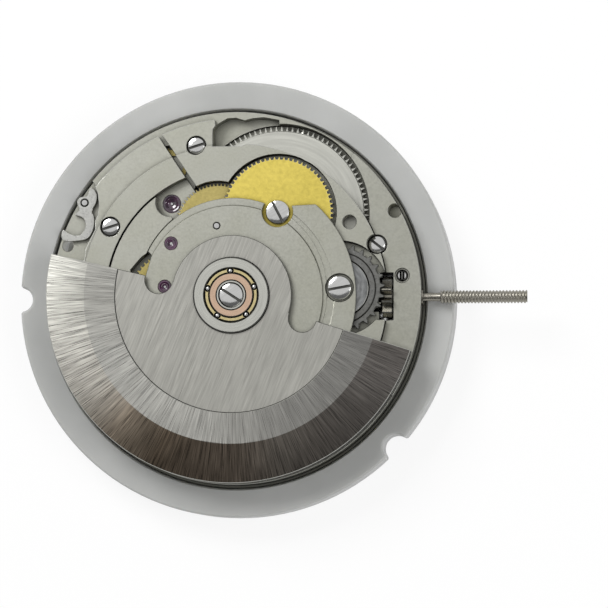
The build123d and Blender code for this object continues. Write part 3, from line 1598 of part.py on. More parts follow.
def setting_lever():
    low = base + lever_low
    high = low + lever_thickness
    post = (lever_post_x, lever_post_y)
    lever = bar(lever_at, post, lever_width, low, high)
    tail = (lever_at[0] - lever_tail_x, lever_at[1] - lever_tail_y)
    lever += bar(lever_at, tail, lever_width, low, high)
    lever += disc(lever_post_radius, high, stem_z - stem_tail_radius - wheel_gap, post)
    return lever - disc(lever_screw_radius + fit_gap, low - overrun, high + overrun, lever_at)


def setting_lever_pusher():
    # a flanged pin whose thin foot carries the setting lever
    top = outer_top - shake
    shoulder = base + lever_low + lever_thickness + pusher_travel + shake
    body = disc(pusher_radius, shoulder, top, lever_at)
    body += disc(lever_screw_radius, base + shake, shoulder, lever_at)
    cut = Pos(lever_at[0], lever_at[1], top) * Box(pusher_slot_width, 2 * pusher_radius, 2 * slot_depth)
    return body - cut


def yoke():
    low = base + lever_low
    high = low + lever_thickness
    finger = (yoke_finger_x, -yoke_finger_y)
    lever = bar(yoke_at, finger, lever_width, low, high)
    lever += disc(yoke_finger_radius, high, stem_z - yoke_finger_drop, finger)
    return lever - disc(yoke_stud_radius + fit_gap, low - overrun, high + overrun, yoke_at)


def setting_lever_jumper():
    high = base + cover_thickness
    cover = prism(from_shares(cover_shares, plate_radius), base, high)
    for place in cover_screw_places:
        cover -= disc(shank_bore(small_screw_radius), base - overrun, high + overrun, place)
        cover -= disc(small_screw_radius + bore_gap, base - overrun, base + thin_head_height, place)
    cover -= disc(lever_screw_radius + fit_gap, base - overrun, high + overrun, lever_at)
    return cover


def dial_side_screws():
    # flat heads, let into the cover so that a dial lies over them
    group = None
    for place in cover_screw_places:
        piece = disc(small_screw_radius, base, base + thin_head_height, place)
        piece += disc(small_screw_radius * screw_shank_share, base, base + cover_screw_length, place)
        group = piece if group is None else group + piece
    return group


# Motion works


def cannon_pinion():
    low = base + minute_level - shake
    high = base + minute_level + motion_thickness + shake
    tip = minute_module * cannon_teeth / 2 + fine_addendum
    root = minute_module * cannon_teeth / 2 - fine_dedendum
    body = toothed(cannon_teeth, tip, root, low, high, centre, turn["cannon"])
    shank_low = base - hour_pipe_drop - fit_gap
    body += disc(cannon_pipe_radius, base - cannon_pipe_drop, shank_low)
    body += taper(cannon_pipe_radius, cannon_pipe_radius + shake, shank_low, shank_low + taper_length)
    body += disc(cannon_pipe_radius + shake, shank_low + taper_length, low)
    return body - disc(centre_tube_radius + fit_gap, base - cannon_pipe_drop - overrun, high + overrun)


def minute_wheel():
    low = base + minute_level
    high = low + motion_thickness
    radius = minute_module * minute_teeth / 2
    wheel = toothed(
        minute_teeth, radius + fine_addendum, radius - fine_dedendum, low, high, minute_at, turn["minute"]
    )
    leaf = span(centre, minute_at) * minute_pinion_teeth / (minute_pinion_teeth + hour_teeth)
    wheel += toothed(
        minute_pinion_teeth, leaf + fine_addendum, leaf - fine_dedendum, base + hour_level - shake / 2, low,
        minute_at, turn["minute_pinion"],
    )
    return wheel - disc(stud_radius + fit_gap, base - overrun, high + overrun, minute_at)


def hour_wheel():
    low = base + hour_level
    high = low + motion_thickness
    radius = span(centre, minute_at) * hour_teeth / (minute_pinion_teeth + hour_teeth)
    wheel = pinion(hour_teeth, radius, low, high, centre, turn["hour"])
    wheel += disc(hour_pipe_radius, base - hour_pipe_drop, low)
    return wheel - disc(cannon_pipe_radius + shake + fit_gap, base - hour_pipe_drop - overrun, high + overrun)


def middle_wheel():
    low = base + minute_level
    wheel = pinion(middle_teeth, middle_radius, low, low + motion_thickness, middle_at, turn["middle"])
    return wheel - disc(stud_radius + fit_gap, low - overrun, low + overrun, middle_at)


def setting_wheel():
    low = base + minute_level
    wheel = toothed(
        setting_teeth, setting_radius + fine_addendum, setting_radius - fine_dedendum, low,
        low + motion_thickness, setting_at, turn["setting"],
    )
    wheel += disc(setting_boss_radius, low + motion_thickness, setting_top - motion_thickness, setting_at)
    wheel += toothed(
        setting_cog_teeth, setting_cog_radius, setting_cog_radius - coarse_dedendum,
        setting_top - motion_thickness, setting_top, setting_at,
    )
    return wheel - disc(stud_radius + fit_gap, low - overrun, setting_top + overrun, setting_at)


# Dial-foot clamp


def dial_foot_clamp():
    # a flat hook that turns on its pin and bites the dial foot with its tip
    low = clamp_low
    high = clamp_low + clamp_thickness
    points = [(clamp_at[0] + x * clamp_size, clamp_at[1] + y * clamp_size) for x, y in clamp_shares]
    face = make_face(Spline(*points, periodic=True))
    lever = Pos(0, 0, low) * extrude(face, amount=high - low)
    return lever - disc(clamp_pin_radius + fit_gap, low - overrun, high + overrun, clamp_at)


def clamp_pin():
    return disc(clamp_pin_radius, clamp_low - clamp_pin_depth, clamp_low + clamp_thickness + shake, clamp_at)


# Small parts kept together


def small_screws():
    return pallet_screws() + dial_side_screws()


def pressed_studs():
    return reduction_bush() + click_stud() + clamp_pin()


pieces = {
    "holder_ring": holder_ring,
    "main_plate": main_plate,
    "train_bridge": train_bridge,
    "barrel_bridge": barrel_bridge,
    "bridge_screws": bridge_screws,
    "train_jewels": train_jewels,
    "balance_cock": balance_cock,
    "shock_settings": shock_settings,
    "regulator": regulator,
    "pallet_bridge": pallet_bridge,
    "small_screws": small_screws,
    "auto_lower_plate": auto_lower_plate,
    "auto_bridge": auto_bridge,
    "auto_jewels": auto_jewels,
    "pressed_studs": pressed_studs,
    "auto_screws": auto_screws,
    "bearing_core": bearing_core,
    "bearing_screw": bearing_screw,
    "bearing_race": bearing_race,
    "bearing_balls": bearing_balls,
    "bearing_cage": bearing_cage,
    "bearing_outer_ring": bearing_outer_ring,
    "rotor_plate": rotor_plate,
    "rotor_weight": rotor_weight,
    "reversing_wheel_a": reversing_wheel_a,
    "reversing_wheel_b": reversing_wheel_b,
    "reversing_pinion": reversing_pinion,
    "reduction_wheel": reduction_wheel,
    "driving_wheel": driving_wheel,
    "ratchet_wheel": ratchet_wheel,
    "ratchet_screw": ratchet_screw,
    "barrel_arbor": barrel_arbor,
    "barrel_drum": barrel_drum,
    "barrel_cover": barrel_cover,
    "mainspring": mainspring,
    "crown_wheel": crown_wheel,
    "crown_core": crown_core,
    "click": click,
    "winding_pinion": winding_pinion,
    "sliding_pinion": sliding_pinion,
    "winding_stem": winding_stem,
    "great_wheel": great_wheel,
    "third_wheel": third_wheel,
    "seconds_wheel": seconds_wheel,
    "escape_wheel": escape_wheel,
    "pallet_fork": pallet_fork,
    "pallet_stones": pallet_stones,
    "balance_wheel": balance_wheel,
    "balance_staff": balance_staff,
    "hairspring": hairspring,
    "setting_lever": setting_lever,
    "setting_lever_pusher": setting_lever_pusher,
    "yoke": yoke,
    "setting_lever_jumper": setting_lever_jumper,
    "cannon_pinion": cannon_pinion,
    "minute_wheel": minute_wheel,
    "hour_wheel": hour_wheel,
    "middle_wheel": middle_wheel,
    "setting_wheel": setting_wheel,
    "dial_foot_clamp": dial_foot_clamp,
}

os.makedirs("parts", exist_ok=True)
for name, piece in pieces.items():
    save(name, piece())
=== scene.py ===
import bpy
import json
import math
from mathutils import Vector, Matrix

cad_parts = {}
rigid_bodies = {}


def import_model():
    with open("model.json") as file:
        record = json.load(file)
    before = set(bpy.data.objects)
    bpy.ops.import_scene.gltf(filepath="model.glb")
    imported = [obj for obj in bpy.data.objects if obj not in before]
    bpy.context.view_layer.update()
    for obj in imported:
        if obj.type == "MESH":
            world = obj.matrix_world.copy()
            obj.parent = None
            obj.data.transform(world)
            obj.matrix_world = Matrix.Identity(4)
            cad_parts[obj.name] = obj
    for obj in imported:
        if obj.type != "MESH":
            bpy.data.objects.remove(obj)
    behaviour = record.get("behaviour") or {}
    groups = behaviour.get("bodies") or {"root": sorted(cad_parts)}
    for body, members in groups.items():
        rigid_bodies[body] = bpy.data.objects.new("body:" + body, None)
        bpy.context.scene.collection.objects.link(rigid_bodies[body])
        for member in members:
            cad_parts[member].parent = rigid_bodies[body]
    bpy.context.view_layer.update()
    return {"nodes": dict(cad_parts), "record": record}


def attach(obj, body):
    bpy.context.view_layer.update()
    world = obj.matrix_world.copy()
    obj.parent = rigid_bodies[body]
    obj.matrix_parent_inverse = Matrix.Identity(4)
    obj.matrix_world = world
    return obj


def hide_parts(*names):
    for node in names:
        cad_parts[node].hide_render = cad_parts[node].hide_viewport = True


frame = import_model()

scene = bpy.context.scene
nodes = frame["nodes"]
mm = 0.001
mergeDistance = 0.001  # in mm, between points that are one
bpy.ops.object.select_all(action="DESELECT")
print("frame loaded", len(nodes), "nodes")


# camera: the photo's angle, a long lens a little right of the vertical
cameraSettings = {
    "target": (4.74, -0.449, 4.0), "distance": 277.7, "tilt": 6.991, "azimuth": -37.83,
    "roll": 0.16, "focalPixels": 4062.3, "imagePixels": 608, "sensor": 36.0, "clipMetres": (0.001, 20.0),
}


def makeCamera(s):
    tilt, turn = math.radians(s["tilt"]), math.radians(s["azimuth"])
    away = Vector((math.sin(tilt) * math.cos(turn), math.sin(tilt) * math.sin(turn), math.cos(tilt)))
    place = (Vector(s["target"]) + away * s["distance"]) * mm
    right = (-away).cross(Vector((0, 1, 0))).normalized()
    up = right.cross(-away).normalized()
    roll = math.radians(s["roll"])
    rolledRight = right * math.cos(roll) + up * math.sin(roll)
    rolledUp = up * math.cos(roll) - right * math.sin(roll)
    bpy.ops.object.camera_add(location=place)
    camera = bpy.context.object
    camera.name = "photoCamera"
    camera.rotation_euler = Matrix((rolledRight, rolledUp, away)).transposed().to_euler()
    camera.data.sensor_width = s["sensor"]
    camera.data.lens = s["focalPixels"] / s["imagePixels"] * s["sensor"]
    camera.data.clip_start, camera.data.clip_end = s["clipMetres"]
    scene.camera = camera
    bpy.ops.object.select_all(action="DESELECT")


makeCamera(cameraSettings)
print("camera set")


# studio: a white room, soft lamps, dark cards that only gloss sees, a pale floor
studioSettings = {
    "worldStrength": 0.5, "whiteStrength": 1.0,
    "floorMetres": 1.2, "floorGrey": 0.9, "floorGlow": 0.85, "underRadius": 13.3, "floorDrop": 0.02,
    "lamps": [
        # name, place in mm, size in mm, watts
        ("keyLamp", (-170, 190, 300), 200, 0.95),
        ("fillLamp", (230, -60, 300), 260, 0.55),
    ],
    "cards": [
        # name, middle in mm, size in mm, turn in degrees, grey
        ("frontCard", (60, -172, 200), (420, 320), 8, 0.16),
        ("rightCard", (190, 120, 200), (200, 300), 12, 0.25),
    ],
}


def maths(tree, operation, first, second):
    # one Math node; a number or a socket on either side
    node = tree.nodes.new("ShaderNodeMath")
    node.operation = operation
    for socket, value in zip(node.inputs, (first, second)):
        if isinstance(value, (int, float)):
            socket.default_value = value
        else:
            tree.links.new(value, socket)
    return node.outputs[0]


def seesBackground(tree):
    # 1 for rays from the camera, in a mirror or through glass
    path = tree.nodes.new("ShaderNodeLightPath")
    direct = maths(tree, "MAXIMUM", path.outputs["Is Camera Ray"], path.outputs["Is Transmission Ray"])
    return maths(tree, "MAXIMUM", direct, path.outputs["Is Glossy Ray"])


def makeWorld(s):
    world = bpy.data.worlds.new("studioWorld")
    scene.world = world
    world.use_nodes = True
    tree = world.node_tree
    tree.nodes.clear()
    out = tree.nodes.new("ShaderNodeOutputWorld")
    white = tree.nodes.new("ShaderNodeBackground")
    white.inputs["Strength"].default_value = s["whiteStrength"]
    soft = tree.nodes.new("ShaderNodeBackground")
    soft.inputs["Strength"].default_value = s["worldStrength"]
    mix = tree.nodes.new("ShaderNodeMixShader")
    tree.links.new(seesBackground(tree), mix.inputs["Fac"])
    tree.links.new(soft.outputs[0], mix.inputs[1])
    tree.links.new(white.outputs[0], mix.inputs[2])
    tree.links.new(mix.outputs[0], out.inputs["Surface"])


def makeLamps(s):
    for name, place, size, watts in s["lamps"]:
        bpy.ops.object.light_add(type="AREA", location=[v * mm for v in place])
        lamp = bpy.context.object
        lamp.name = name
        lamp.data.shape = "DISK"
        lamp.data.size = size * mm
        lamp.data.energy = watts
        lamp.rotation_euler = Vector(place).to_track_quat("Z", "Y").to_euler()


def makeCards(s):
    for name, middle, size, turn, grey in s["cards"]:
        bpy.ops.mesh.primitive_plane_add(size=1, location=[v * mm for v in middle])
        card = bpy.context.object
        card.name = name
        card.scale = (size[0] * mm, size[1] * mm, 1)
        card.rotation_euler = (0, 0, math.radians(turn))
        bpy.ops.object.transform_apply(location=True, rotation=True, scale=True)
        card.visible_camera = card.visible_diffuse = card.visible_shadow = False
        card.visible_transmission = False
        material = bpy.data.materials.new(name + "Paint")
        material.use_nodes = True
        tree = material.node_tree
        tree.nodes.clear()
        out = tree.nodes.new("ShaderNodeOutputMaterial")
        glow = tree.nodes.new("ShaderNodeEmission")
        glow.inputs["Color"].default_value = (grey, grey, grey, 1)
        tree.links.new(glow.outputs[0], out.inputs["Surface"])
        card.data.materials.append(material)


def makeFloor(s):
    bpy.ops.mesh.primitive_plane_add(size=s["floorMetres"], location=(0, 0, -s["floorDrop"] * mm))
    floor = bpy.context.object
    floor.name = "floor"
    material = bpy.data.materials.new("paleFloor")
    material.use_nodes = True
    tree = material.node_tree
    tree.nodes.clear()
    out = tree.nodes.new("ShaderNodeOutputMaterial")
    paint = tree.nodes.new("ShaderNodeBsdfDiffuse")
    paint.inputs["Color"].default_value = (*(s["floorGrey"],) * 3, 1)
    glow = tree.nodes.new("ShaderNodeEmission")
    glow.inputs["Strength"].default_value = s["whiteStrength"]
    # the glow stops under the movement, so that the floor is dark through its holes
    source = tree.nodes.new("ShaderNodeTexCoord")
    reach = tree.nodes.new("ShaderNodeVectorMath")
    reach.operation = "LENGTH"
    tree.links.new(source.outputs["Object"], reach.inputs[0])
    outside = maths(tree, "GREATER_THAN", reach.outputs["Value"], s["underRadius"] * mm)
    share = maths(tree, "MULTIPLY", outside, s["floorGlow"])
    mix = tree.nodes.new("ShaderNodeMixShader")
    tree.links.new(maths(tree, "MULTIPLY", share, seesBackground(tree)), mix.inputs["Fac"])
    tree.links.new(paint.outputs[0], mix.inputs[1])
    tree.links.new(glow.outputs[0], mix.inputs[2])
    # from below the floor is clear, and it lets light up to the dial side
    side = tree.nodes.new("ShaderNodeNewGeometry")
    clear = tree.nodes.new("ShaderNodeBsdfTransparent")
    sides = tree.nodes.new("ShaderNodeMixShader")
    path = tree.nodes.new("ShaderNodeLightPath")
    unseen = maths(tree, "SUBTRACT", 1.0, path.outputs["Is Camera Ray"])
    inside = maths(tree, "SUBTRACT", 1.0, outside)
    under = maths(tree, "MULTIPLY", unseen, inside)
    tree.links.new(maths(tree, "MAXIMUM", under, side.outputs["Backfacing"]), sides.inputs["Fac"])
    tree.links.new(mix.outputs[0], sides.inputs[1])
    tree.links.new(clear.outputs[0], sides.inputs[2])
    tree.links.new(sides.outputs[0], out.inputs["Surface"])
    floor.data.materials.append(material)


makeWorld(studioSettings)
makeLamps(studioSettings)
makeCards(studioSettings)
makeFloor(studioSettings)
bpy.ops.object.select_all(action="DESELECT")
print("studio built")


# finishes
def newMaterial(name, color, metallic, roughness):
    material = bpy.data.materials.new(name)
    material.use_nodes = True
    shader = material.node_tree.nodes["Principled BSDF"]
    shader.inputs["Base Color"].default_value = (*color, 1)
    shader.inputs["Metallic"].default_value = metallic
    shader.inputs["Roughness"].default_value = roughness
    return material, material.node_tree, shader


def objectCoordinates(tree, turn=0.0, scale=(1, 1, 1), place=(0, 0, 0)):
    # object coordinates shifted to a centre, turned and stretched
    source = tree.nodes.new("ShaderNodeTexCoord")
    shift = tree.nodes.new("ShaderNodeMapping")
    shift.inputs["Location"].default_value = [-v * mm for v in place]
    spin = tree.nodes.new("ShaderNodeMapping")
    spin.inputs["Rotation"].default_value = (0, 0, math.radians(-turn))
    stretch = tree.nodes.new("ShaderNodeMapping")
    stretch.inputs["Scale"].default_value = scale
    tree.links.new(source.outputs["Object"], shift.inputs["Vector"])
    tree.links.new(shift.outputs["Vector"], spin.inputs["Vector"])
    tree.links.new(spin.outputs["Vector"], stretch.inputs["Vector"])
    return stretch.outputs["Vector"]


def polarParts(tree, place=(0, 0, 0), turn=0.0):
    # the angle in radians and the radius in metres about an upright axis
    source = objectCoordinates(tree, turn, place=place)
    split = tree.nodes.new("ShaderNodeSeparateXYZ")
    flat = tree.nodes.new("ShaderNodeCombineXYZ")
    length = tree.nodes.new("ShaderNodeVectorMath")
    length.operation = "LENGTH"
    tree.links.new(source, split.inputs["Vector"])
    tree.links.new(split.outputs["X"], flat.inputs["X"])
    tree.links.new(split.outputs["Y"], flat.inputs["Y"])
    tree.links.new(flat.outputs["Vector"], length.inputs[0])
    return maths(tree, "ARCTAN2", split.outputs["Y"], split.outputs["X"]), length.outputs["Value"]


def polarVector(tree, angle, radius, angleScale, radiusScale):
    joined = tree.nodes.new("ShaderNodeCombineXYZ")
    tree.links.new(maths(tree, "MULTIPLY", angle, angleScale), joined.inputs["X"])
    tree.links.new(maths(tree, "MULTIPLY", radius, radiusScale), joined.inputs["Y"])
    return joined.outputs["Vector"]


def noise(tree, vector, scale=1.0, detail=2.0, rough=0.5):
    texture = tree.nodes.new("ShaderNodeTexNoise")
    texture.inputs["Scale"].default_value = scale
    texture.inputs["Detail"].default_value = detail
    texture.inputs["Roughness"].default_value = rough
    tree.links.new(vector, texture.inputs["Vector"])
    return texture.outputs["Fac"]


def ramp(tree, value, stops):
    # a value spread over colours: (position, colour) in rising order
    band = tree.nodes.new("ShaderNodeValToRGB")
    steps = band.color_ramp.elements
    steps[0].position, steps[1].position = stops[0][0], stops[-1][0]
    for position, color in stops[1:-1]:
        steps.new(position)
    for step, (position, color) in zip(sorted(steps, key=lambda e: e.position), stops):
        step.color = (*color, 1)
    tree.links.new(value, band.inputs["Fac"])
    return band.outputs["Color"]


def spread(tree, value, low, high):
    # a noise's middle range brought to low and high
    reach = tree.nodes.new("ShaderNodeMapRange")
    reach.inputs["From Min"].default_value = 0.25
    reach.inputs["From Max"].default_value = 0.75
    reach.inputs["To Min"].default_value = low
    reach.inputs["To Max"].default_value = high
    tree.links.new(value, reach.inputs["Value"])
    return reach.outputs["Result"]


def blendColors(tree, mode, factor, first, second):
    mixer = tree.nodes.new("ShaderNodeMixRGB")
    mixer.blend_type = mode
    for socket, value in zip(mixer.inputs, (factor, first, second)):
        if isinstance(value, (int, float)):
            socket.default_value = value
        elif isinstance(value, tuple):
            socket.default_value = (*value, 1)
        else:
            tree.links.new(value, socket)
    return mixer.outputs["Color"]


def bump(tree, shader, value, strength, distance):
    # relief from a value, its distance in mm
    lift = tree.nodes.new("ShaderNodeBump")
    lift.inputs["Strength"].default_value = strength
    lift.inputs["Distance"].default_value = distance * mm
    tree.links.new(value, lift.inputs["Height"])
    tree.links.new(lift.outputs["Normal"], shader.inputs["Normal"])


def shade(color, factor):
    return tuple(min(1.0, c * factor) for c in color)


def twoTone(tree, value, color, contrast):
    return ramp(tree, value, [(0.3, shade(color, 1 - contrast)), (0.7, shade(color, 1 + contrast))])


def runsRound(tree, shader, place, amount):
    # the highlight runs round the axis, across rays that run outwards
    shader.inputs["Anisotropic"].default_value = amount
    source = objectCoordinates(tree, place=place)
    around = tree.nodes.new("ShaderNodeVectorMath")
    around.operation = "CROSS_PRODUCT"
    around.inputs[0].default_value = (0, 0, 1)
    toWorld = tree.nodes.new("ShaderNodeVectorTransform")
    toWorld.vector_type = "VECTOR"
    toWorld.convert_from, toWorld.convert_to = "OBJECT", "WORLD"
    tree.links.new(source, around.inputs[1])
    tree.links.new(around.outputs["Vector"], toWorld.inputs["Vector"])
    tree.links.new(toWorld.outputs["Vector"], shader.inputs["Tangent"])


recessSettings = {"samples": 8, "darkBelow": 0.2, "clearAbove": 0.85}


def recessShade(tree, color, deepest, reach):
    # painted shade with oil: darker in grooves, bores and corners, where shadow falls and oil gathers
    corner = tree.nodes.new("ShaderNodeAmbientOcclusion")
    corner.samples = recessSettings["samples"]
    corner.inputs["Distance"].default_value = reach * mm
    stops = [(recessSettings["darkBelow"], (deepest,) * 3), (recessSettings["clearAbove"], (1, 1, 1))]
    depth = ramp(tree, corner.outputs["AO"], stops)
    return blendColors(tree, "MULTIPLY", 1.0, color, depth)


def paintedBayShade(tree, color, shadedBay):
    # painted shade with oil in a round pocket: darker inside its radius, between its floor and its rim
    (x, y), radius, foot, top, paintedTone = shadedBay
    _, reach = polarParts(tree, (x, y, 0))
    split = tree.nodes.new("ShaderNodeSeparateXYZ")
    tree.links.new(objectCoordinates(tree), split.inputs["Vector"])
    near = maths(tree, "LESS_THAN", reach, radius * mm)
    above = maths(tree, "GREATER_THAN", split.outputs["Z"], foot * mm)
    low = maths(tree, "MULTIPLY", above, maths(tree, "LESS_THAN", split.outputs["Z"], top * mm))
    bayShaded = blendColors(tree, "MULTIPLY", 1.0, color, paintedTone)
    return blendColors(tree, "MIX", maths(tree, "MULTIPLY", near, low), color, bayShaded)


def satinMetal(name, color, roughness, grain=7500.0, contrast=0.05, stain=0.06, deepest=0.12, shadedBay=None):
    # a frosted plated surface: fine even grain, with faint cloudy stains
    material, tree, shader = newMaterial(name, color, metallic=1.0, roughness=roughness)
    fine = noise(tree, objectCoordinates(tree), grain, rough=0.6)
    cloud = noise(tree, objectCoordinates(tree), scale=260.0, detail=4.0, rough=0.55)
    grainTint = twoTone(tree, fine, color, contrast)
    stainTint = ramp(tree, cloud, [(0.35, (1 - stain, 1 - stain, 1 - 1.5 * stain)), (0.6, (1, 1, 1))])
    tint = blendColors(tree, "MULTIPLY", 1.0, grainTint, stainTint)
    # painted shade with oil in a given pocket
    if shadedBay:
        tint = paintedBayShade(tree, tint, shadedBay)
    # painted shade in the recesses, over the grain and stains
    tree.links.new(recessShade(tree, tint, deepest, reach=0.55), shader.inputs["Base Color"])
    tree.links.new(spread(tree, fine, roughness - 0.05, roughness + 0.07), shader.inputs["Roughness"])
    bump(tree, shader, fine, strength=0.35, distance=0.004)
    return material


def brushedMetal(name, color, roughness, direction, contrast=0.13):
    # straight fine lines that run along one direction, in two widths
    material, tree, shader = newMaterial(name, color, metallic=1.0, roughness=roughness)
    narrow = objectCoordinates(tree, direction, scale=(520, 15000, 2000))
    lines = noise(tree, narrow, rough=0.6)
    wide = objectCoordinates(tree, direction, scale=(240, 7000, 2000), place=(3, 7, 0))
    broad = noise(tree, wide, detail=1.0)
    both = maths(tree, "MULTIPLY_ADD", lines, 0.8)
    tree.links.new(maths(tree, "MULTIPLY", broad, 0.2), both.node.inputs[2])
    tint = twoTone(tree, both, color, contrast)
    # painted shade in the recesses, over the lines
    tree.links.new(recessShade(tree, tint, deepest=0.2, reach=0.4), shader.inputs["Base Color"])
    tree.links.new(spread(tree, both, roughness - 0.07, roughness + 0.09), shader.inputs["Roughness"])
    bump(tree, shader, lines, strength=0.3, distance=0.004)
    return material


def turnedMetal(name, color, roughness, place=(0, 0, 0), contrast=0.05, ringScale=9000.0):
    # fine rings about one axis, as a lathe leaves them
    material, tree, shader = newMaterial(name, color, metallic=1.0, roughness=roughness)
    angle, radius = polarParts(tree, place)
    lines = noise(tree, polarVector(tree, angle, radius, angleScale=1.5, radiusScale=ringScale), rough=0.6)
    tint = twoTone(tree, lines, color, contrast)
    # painted shade in the recesses, over the rings
    tree.links.new(recessShade(tree, tint, deepest=0.15, reach=0.5), shader.inputs["Base Color"])
    tree.links.new(spread(tree, lines, roughness - 0.04, roughness + 0.06), shader.inputs["Roughness"])
    bump(tree, shader, lines, strength=0.2, distance=0.003)
    return material


weightSettings = {
    "bandRadius": 10.1, "cutAngle": 90.0, "roughness": 0.3,
    # the noise's scales round the axis and along the radius
    "rayScale": 185.0, "rayLength": 420.0, "wideRayScale": 72.0, "wideRayLength": 160.0,
    # painted light and reflection round the weight, by share of a turn from its open side
    "innerTones": [(0.20, (0.44, 0.435, 0.405)), (0.255, (0.33, 0.325, 0.30)), (0.32, (0.28, 0.277, 0.258)),
                   (0.37, (0.30, 0.296, 0.275)), (0.43, (0.35, 0.345, 0.32)), (0.47, (0.36, 0.355, 0.33)),
                   (0.51, (0.315, 0.31, 0.288)), (0.56, (0.275, 0.27, 0.252)), (0.68, (0.265, 0.26, 0.245)),
                   (0.72, (0.20, 0.196, 0.185))],
    "outerTones": [(0.20, (0.52, 0.515, 0.475)), (0.255, (0.40, 0.395, 0.36)), (0.30, (0.36, 0.35, 0.32)),
                   (0.345, (0.29, 0.275, 0.245)), (0.385, (0.20, 0.167, 0.13)), (0.43, (0.085, 0.066, 0.048)),
                   (0.505, (0.12, 0.098, 0.078)), (0.545, (0.105, 0.094, 0.081)), (0.59, (0.10, 0.09, 0.08)),
                   (0.635, (0.11, 0.101, 0.092)), (0.675, (0.165, 0.153, 0.142)), (0.72, (0.13, 0.12, 0.11))],
    "innerContrast": 0.42, "outerContrast": 0.62,
}


def rayBrushedWeightPaintedReflection(name, s):
    # fine rays brushed outwards, over painted light and reflection round the weight; the sloped outer band
    # takes a deeper painted reflection than the flat inner one
    material, tree, shader = newMaterial(name, (0.4, 0.4, 0.38), metallic=1.0, roughness=s["roughness"])
    angle, radius = polarParts(tree, (0, 0, 0), s["cutAngle"] + 180)
    turnShare = maths(tree, "MULTIPLY_ADD", angle, 1 / math.tau)
    turnShare.node.inputs[2].default_value = 0.5
    fine = noise(tree, polarVector(tree, angle, radius, s["rayScale"], s["rayLength"]), rough=0.65)
    wide = noise(tree, polarVector(tree, angle, radius, s["wideRayScale"], s["wideRayLength"]), detail=1.0)
    rays = maths(tree, "MULTIPLY_ADD", fine, 0.75)
    tree.links.new(maths(tree, "MULTIPLY", wide, 0.25), rays.node.inputs[2])
    # painted light and reflection by angle, streaked by the brushed rays
    paintedBandTones = []
    for band in ("inner", "outer"):
        paintedTone = ramp(tree, turnShare, s[band + "Tones"])
        contrast = s[band + "Contrast"]
        streak = ramp(tree, rays, [(0.32, (1 - contrast,) * 3), (0.68, (1 + contrast,) * 3)])
        paintedBandTones.append(blendColors(tree, "MULTIPLY", 1.0, paintedTone, streak))
    outside = maths(tree, "GREATER_THAN", radius, s["bandRadius"] * mm)
    tree.links.new(blendColors(tree, "MIX", outside, paintedBandTones[0], paintedBandTones[1]), shader.inputs["Base Color"])
    gloss = spread(tree, rays, s["roughness"] - 0.08, s["roughness"] + 0.08)
    tree.links.new(gloss, shader.inputs["Roughness"])
    bump(tree, shader, rays, strength=0.35, distance=0.005)
    runsRound(tree, shader, place=(0, 0, 0), amount=0.6)
    return material


def polishedMetal(name, color, roughness):
    # mirror polish with a few hair lines
    material, tree, shader = newMaterial(name, color, metallic=1.0, roughness=roughness)
    hair = noise(tree, objectCoordinates(tree, turn=30, scale=(900, 9000, 900)))
    gloss = spread(tree, hair, max(0.03, roughness - 0.04), roughness + 0.05)
    tree.links.new(gloss, shader.inputs["Roughness"])
    tint = twoTone(tree, hair, color, contrast=0.05)
    # painted shade in the recesses, over the hair lines
    tree.links.new(recessShade(tree, tint, deepest=0.2, reach=0.35), shader.inputs["Base Color"])
    bump(tree, shader, hair, strength=0.08, distance=0.002)
    return material


def rubyGlass(name):
    # deep purple stone that is lighter where it is thin
    material, tree, shader = newMaterial(name, (0.07, 0.012, 0.05), metallic=0.0, roughness=0.07)
    cloud = noise(tree, objectCoordinates(tree), scale=2200.0)
    tint = ramp(tree, cloud, [(0.35, (0.03, 0.008, 0.027)), (0.7, (0.10, 0.024, 0.082))])
    tree.links.new(tint, shader.inputs["Base Color"])
    shader.inputs["Transmission Weight"].default_value = 0.2
    shader.inputs["Coat Weight"].default_value = 0.5
    shader.inputs["Coat Roughness"].default_value = 0.04
    shader.inputs["IOR"].default_value = 1.76
    tree.links.new(spread(tree, cloud, 0.05, 0.12), shader.inputs["Roughness"])
    return material


def milkyPlastic(name):
    # a moulded ring that light goes a little way into
    material, tree, shader = newMaterial(name, (0.41, 0.415, 0.405), metallic=0.0, roughness=0.45)
    cloud = noise(tree, objectCoordinates(tree), scale=200.0, detail=3.0)
    fine = noise(tree, objectCoordinates(tree), scale=6000.0)
    tint = ramp(tree, cloud, [(0.3, (0.39, 0.395, 0.385)), (0.75, (0.45, 0.455, 0.445))])
    tree.links.new(tint, shader.inputs["Base Color"])
    tree.links.new(spread(tree, fine, 0.40, 0.52), shader.inputs["Roughness"])
    shader.inputs["Subsurface Weight"].default_value = 0.3
    shader.inputs["Subsurface Radius"].default_value = (1.0, 0.95, 0.85)
    shader.inputs["Subsurface Scale"].default_value = 0.0012
    bump(tree, shader, fine, strength=0.12, distance=0.008)
    return material


nickel = (0.345, 0.345, 0.305)
barrelPlace, crownPlace = (3.056, 5.737, 0), (7.311, 0.530, 0)
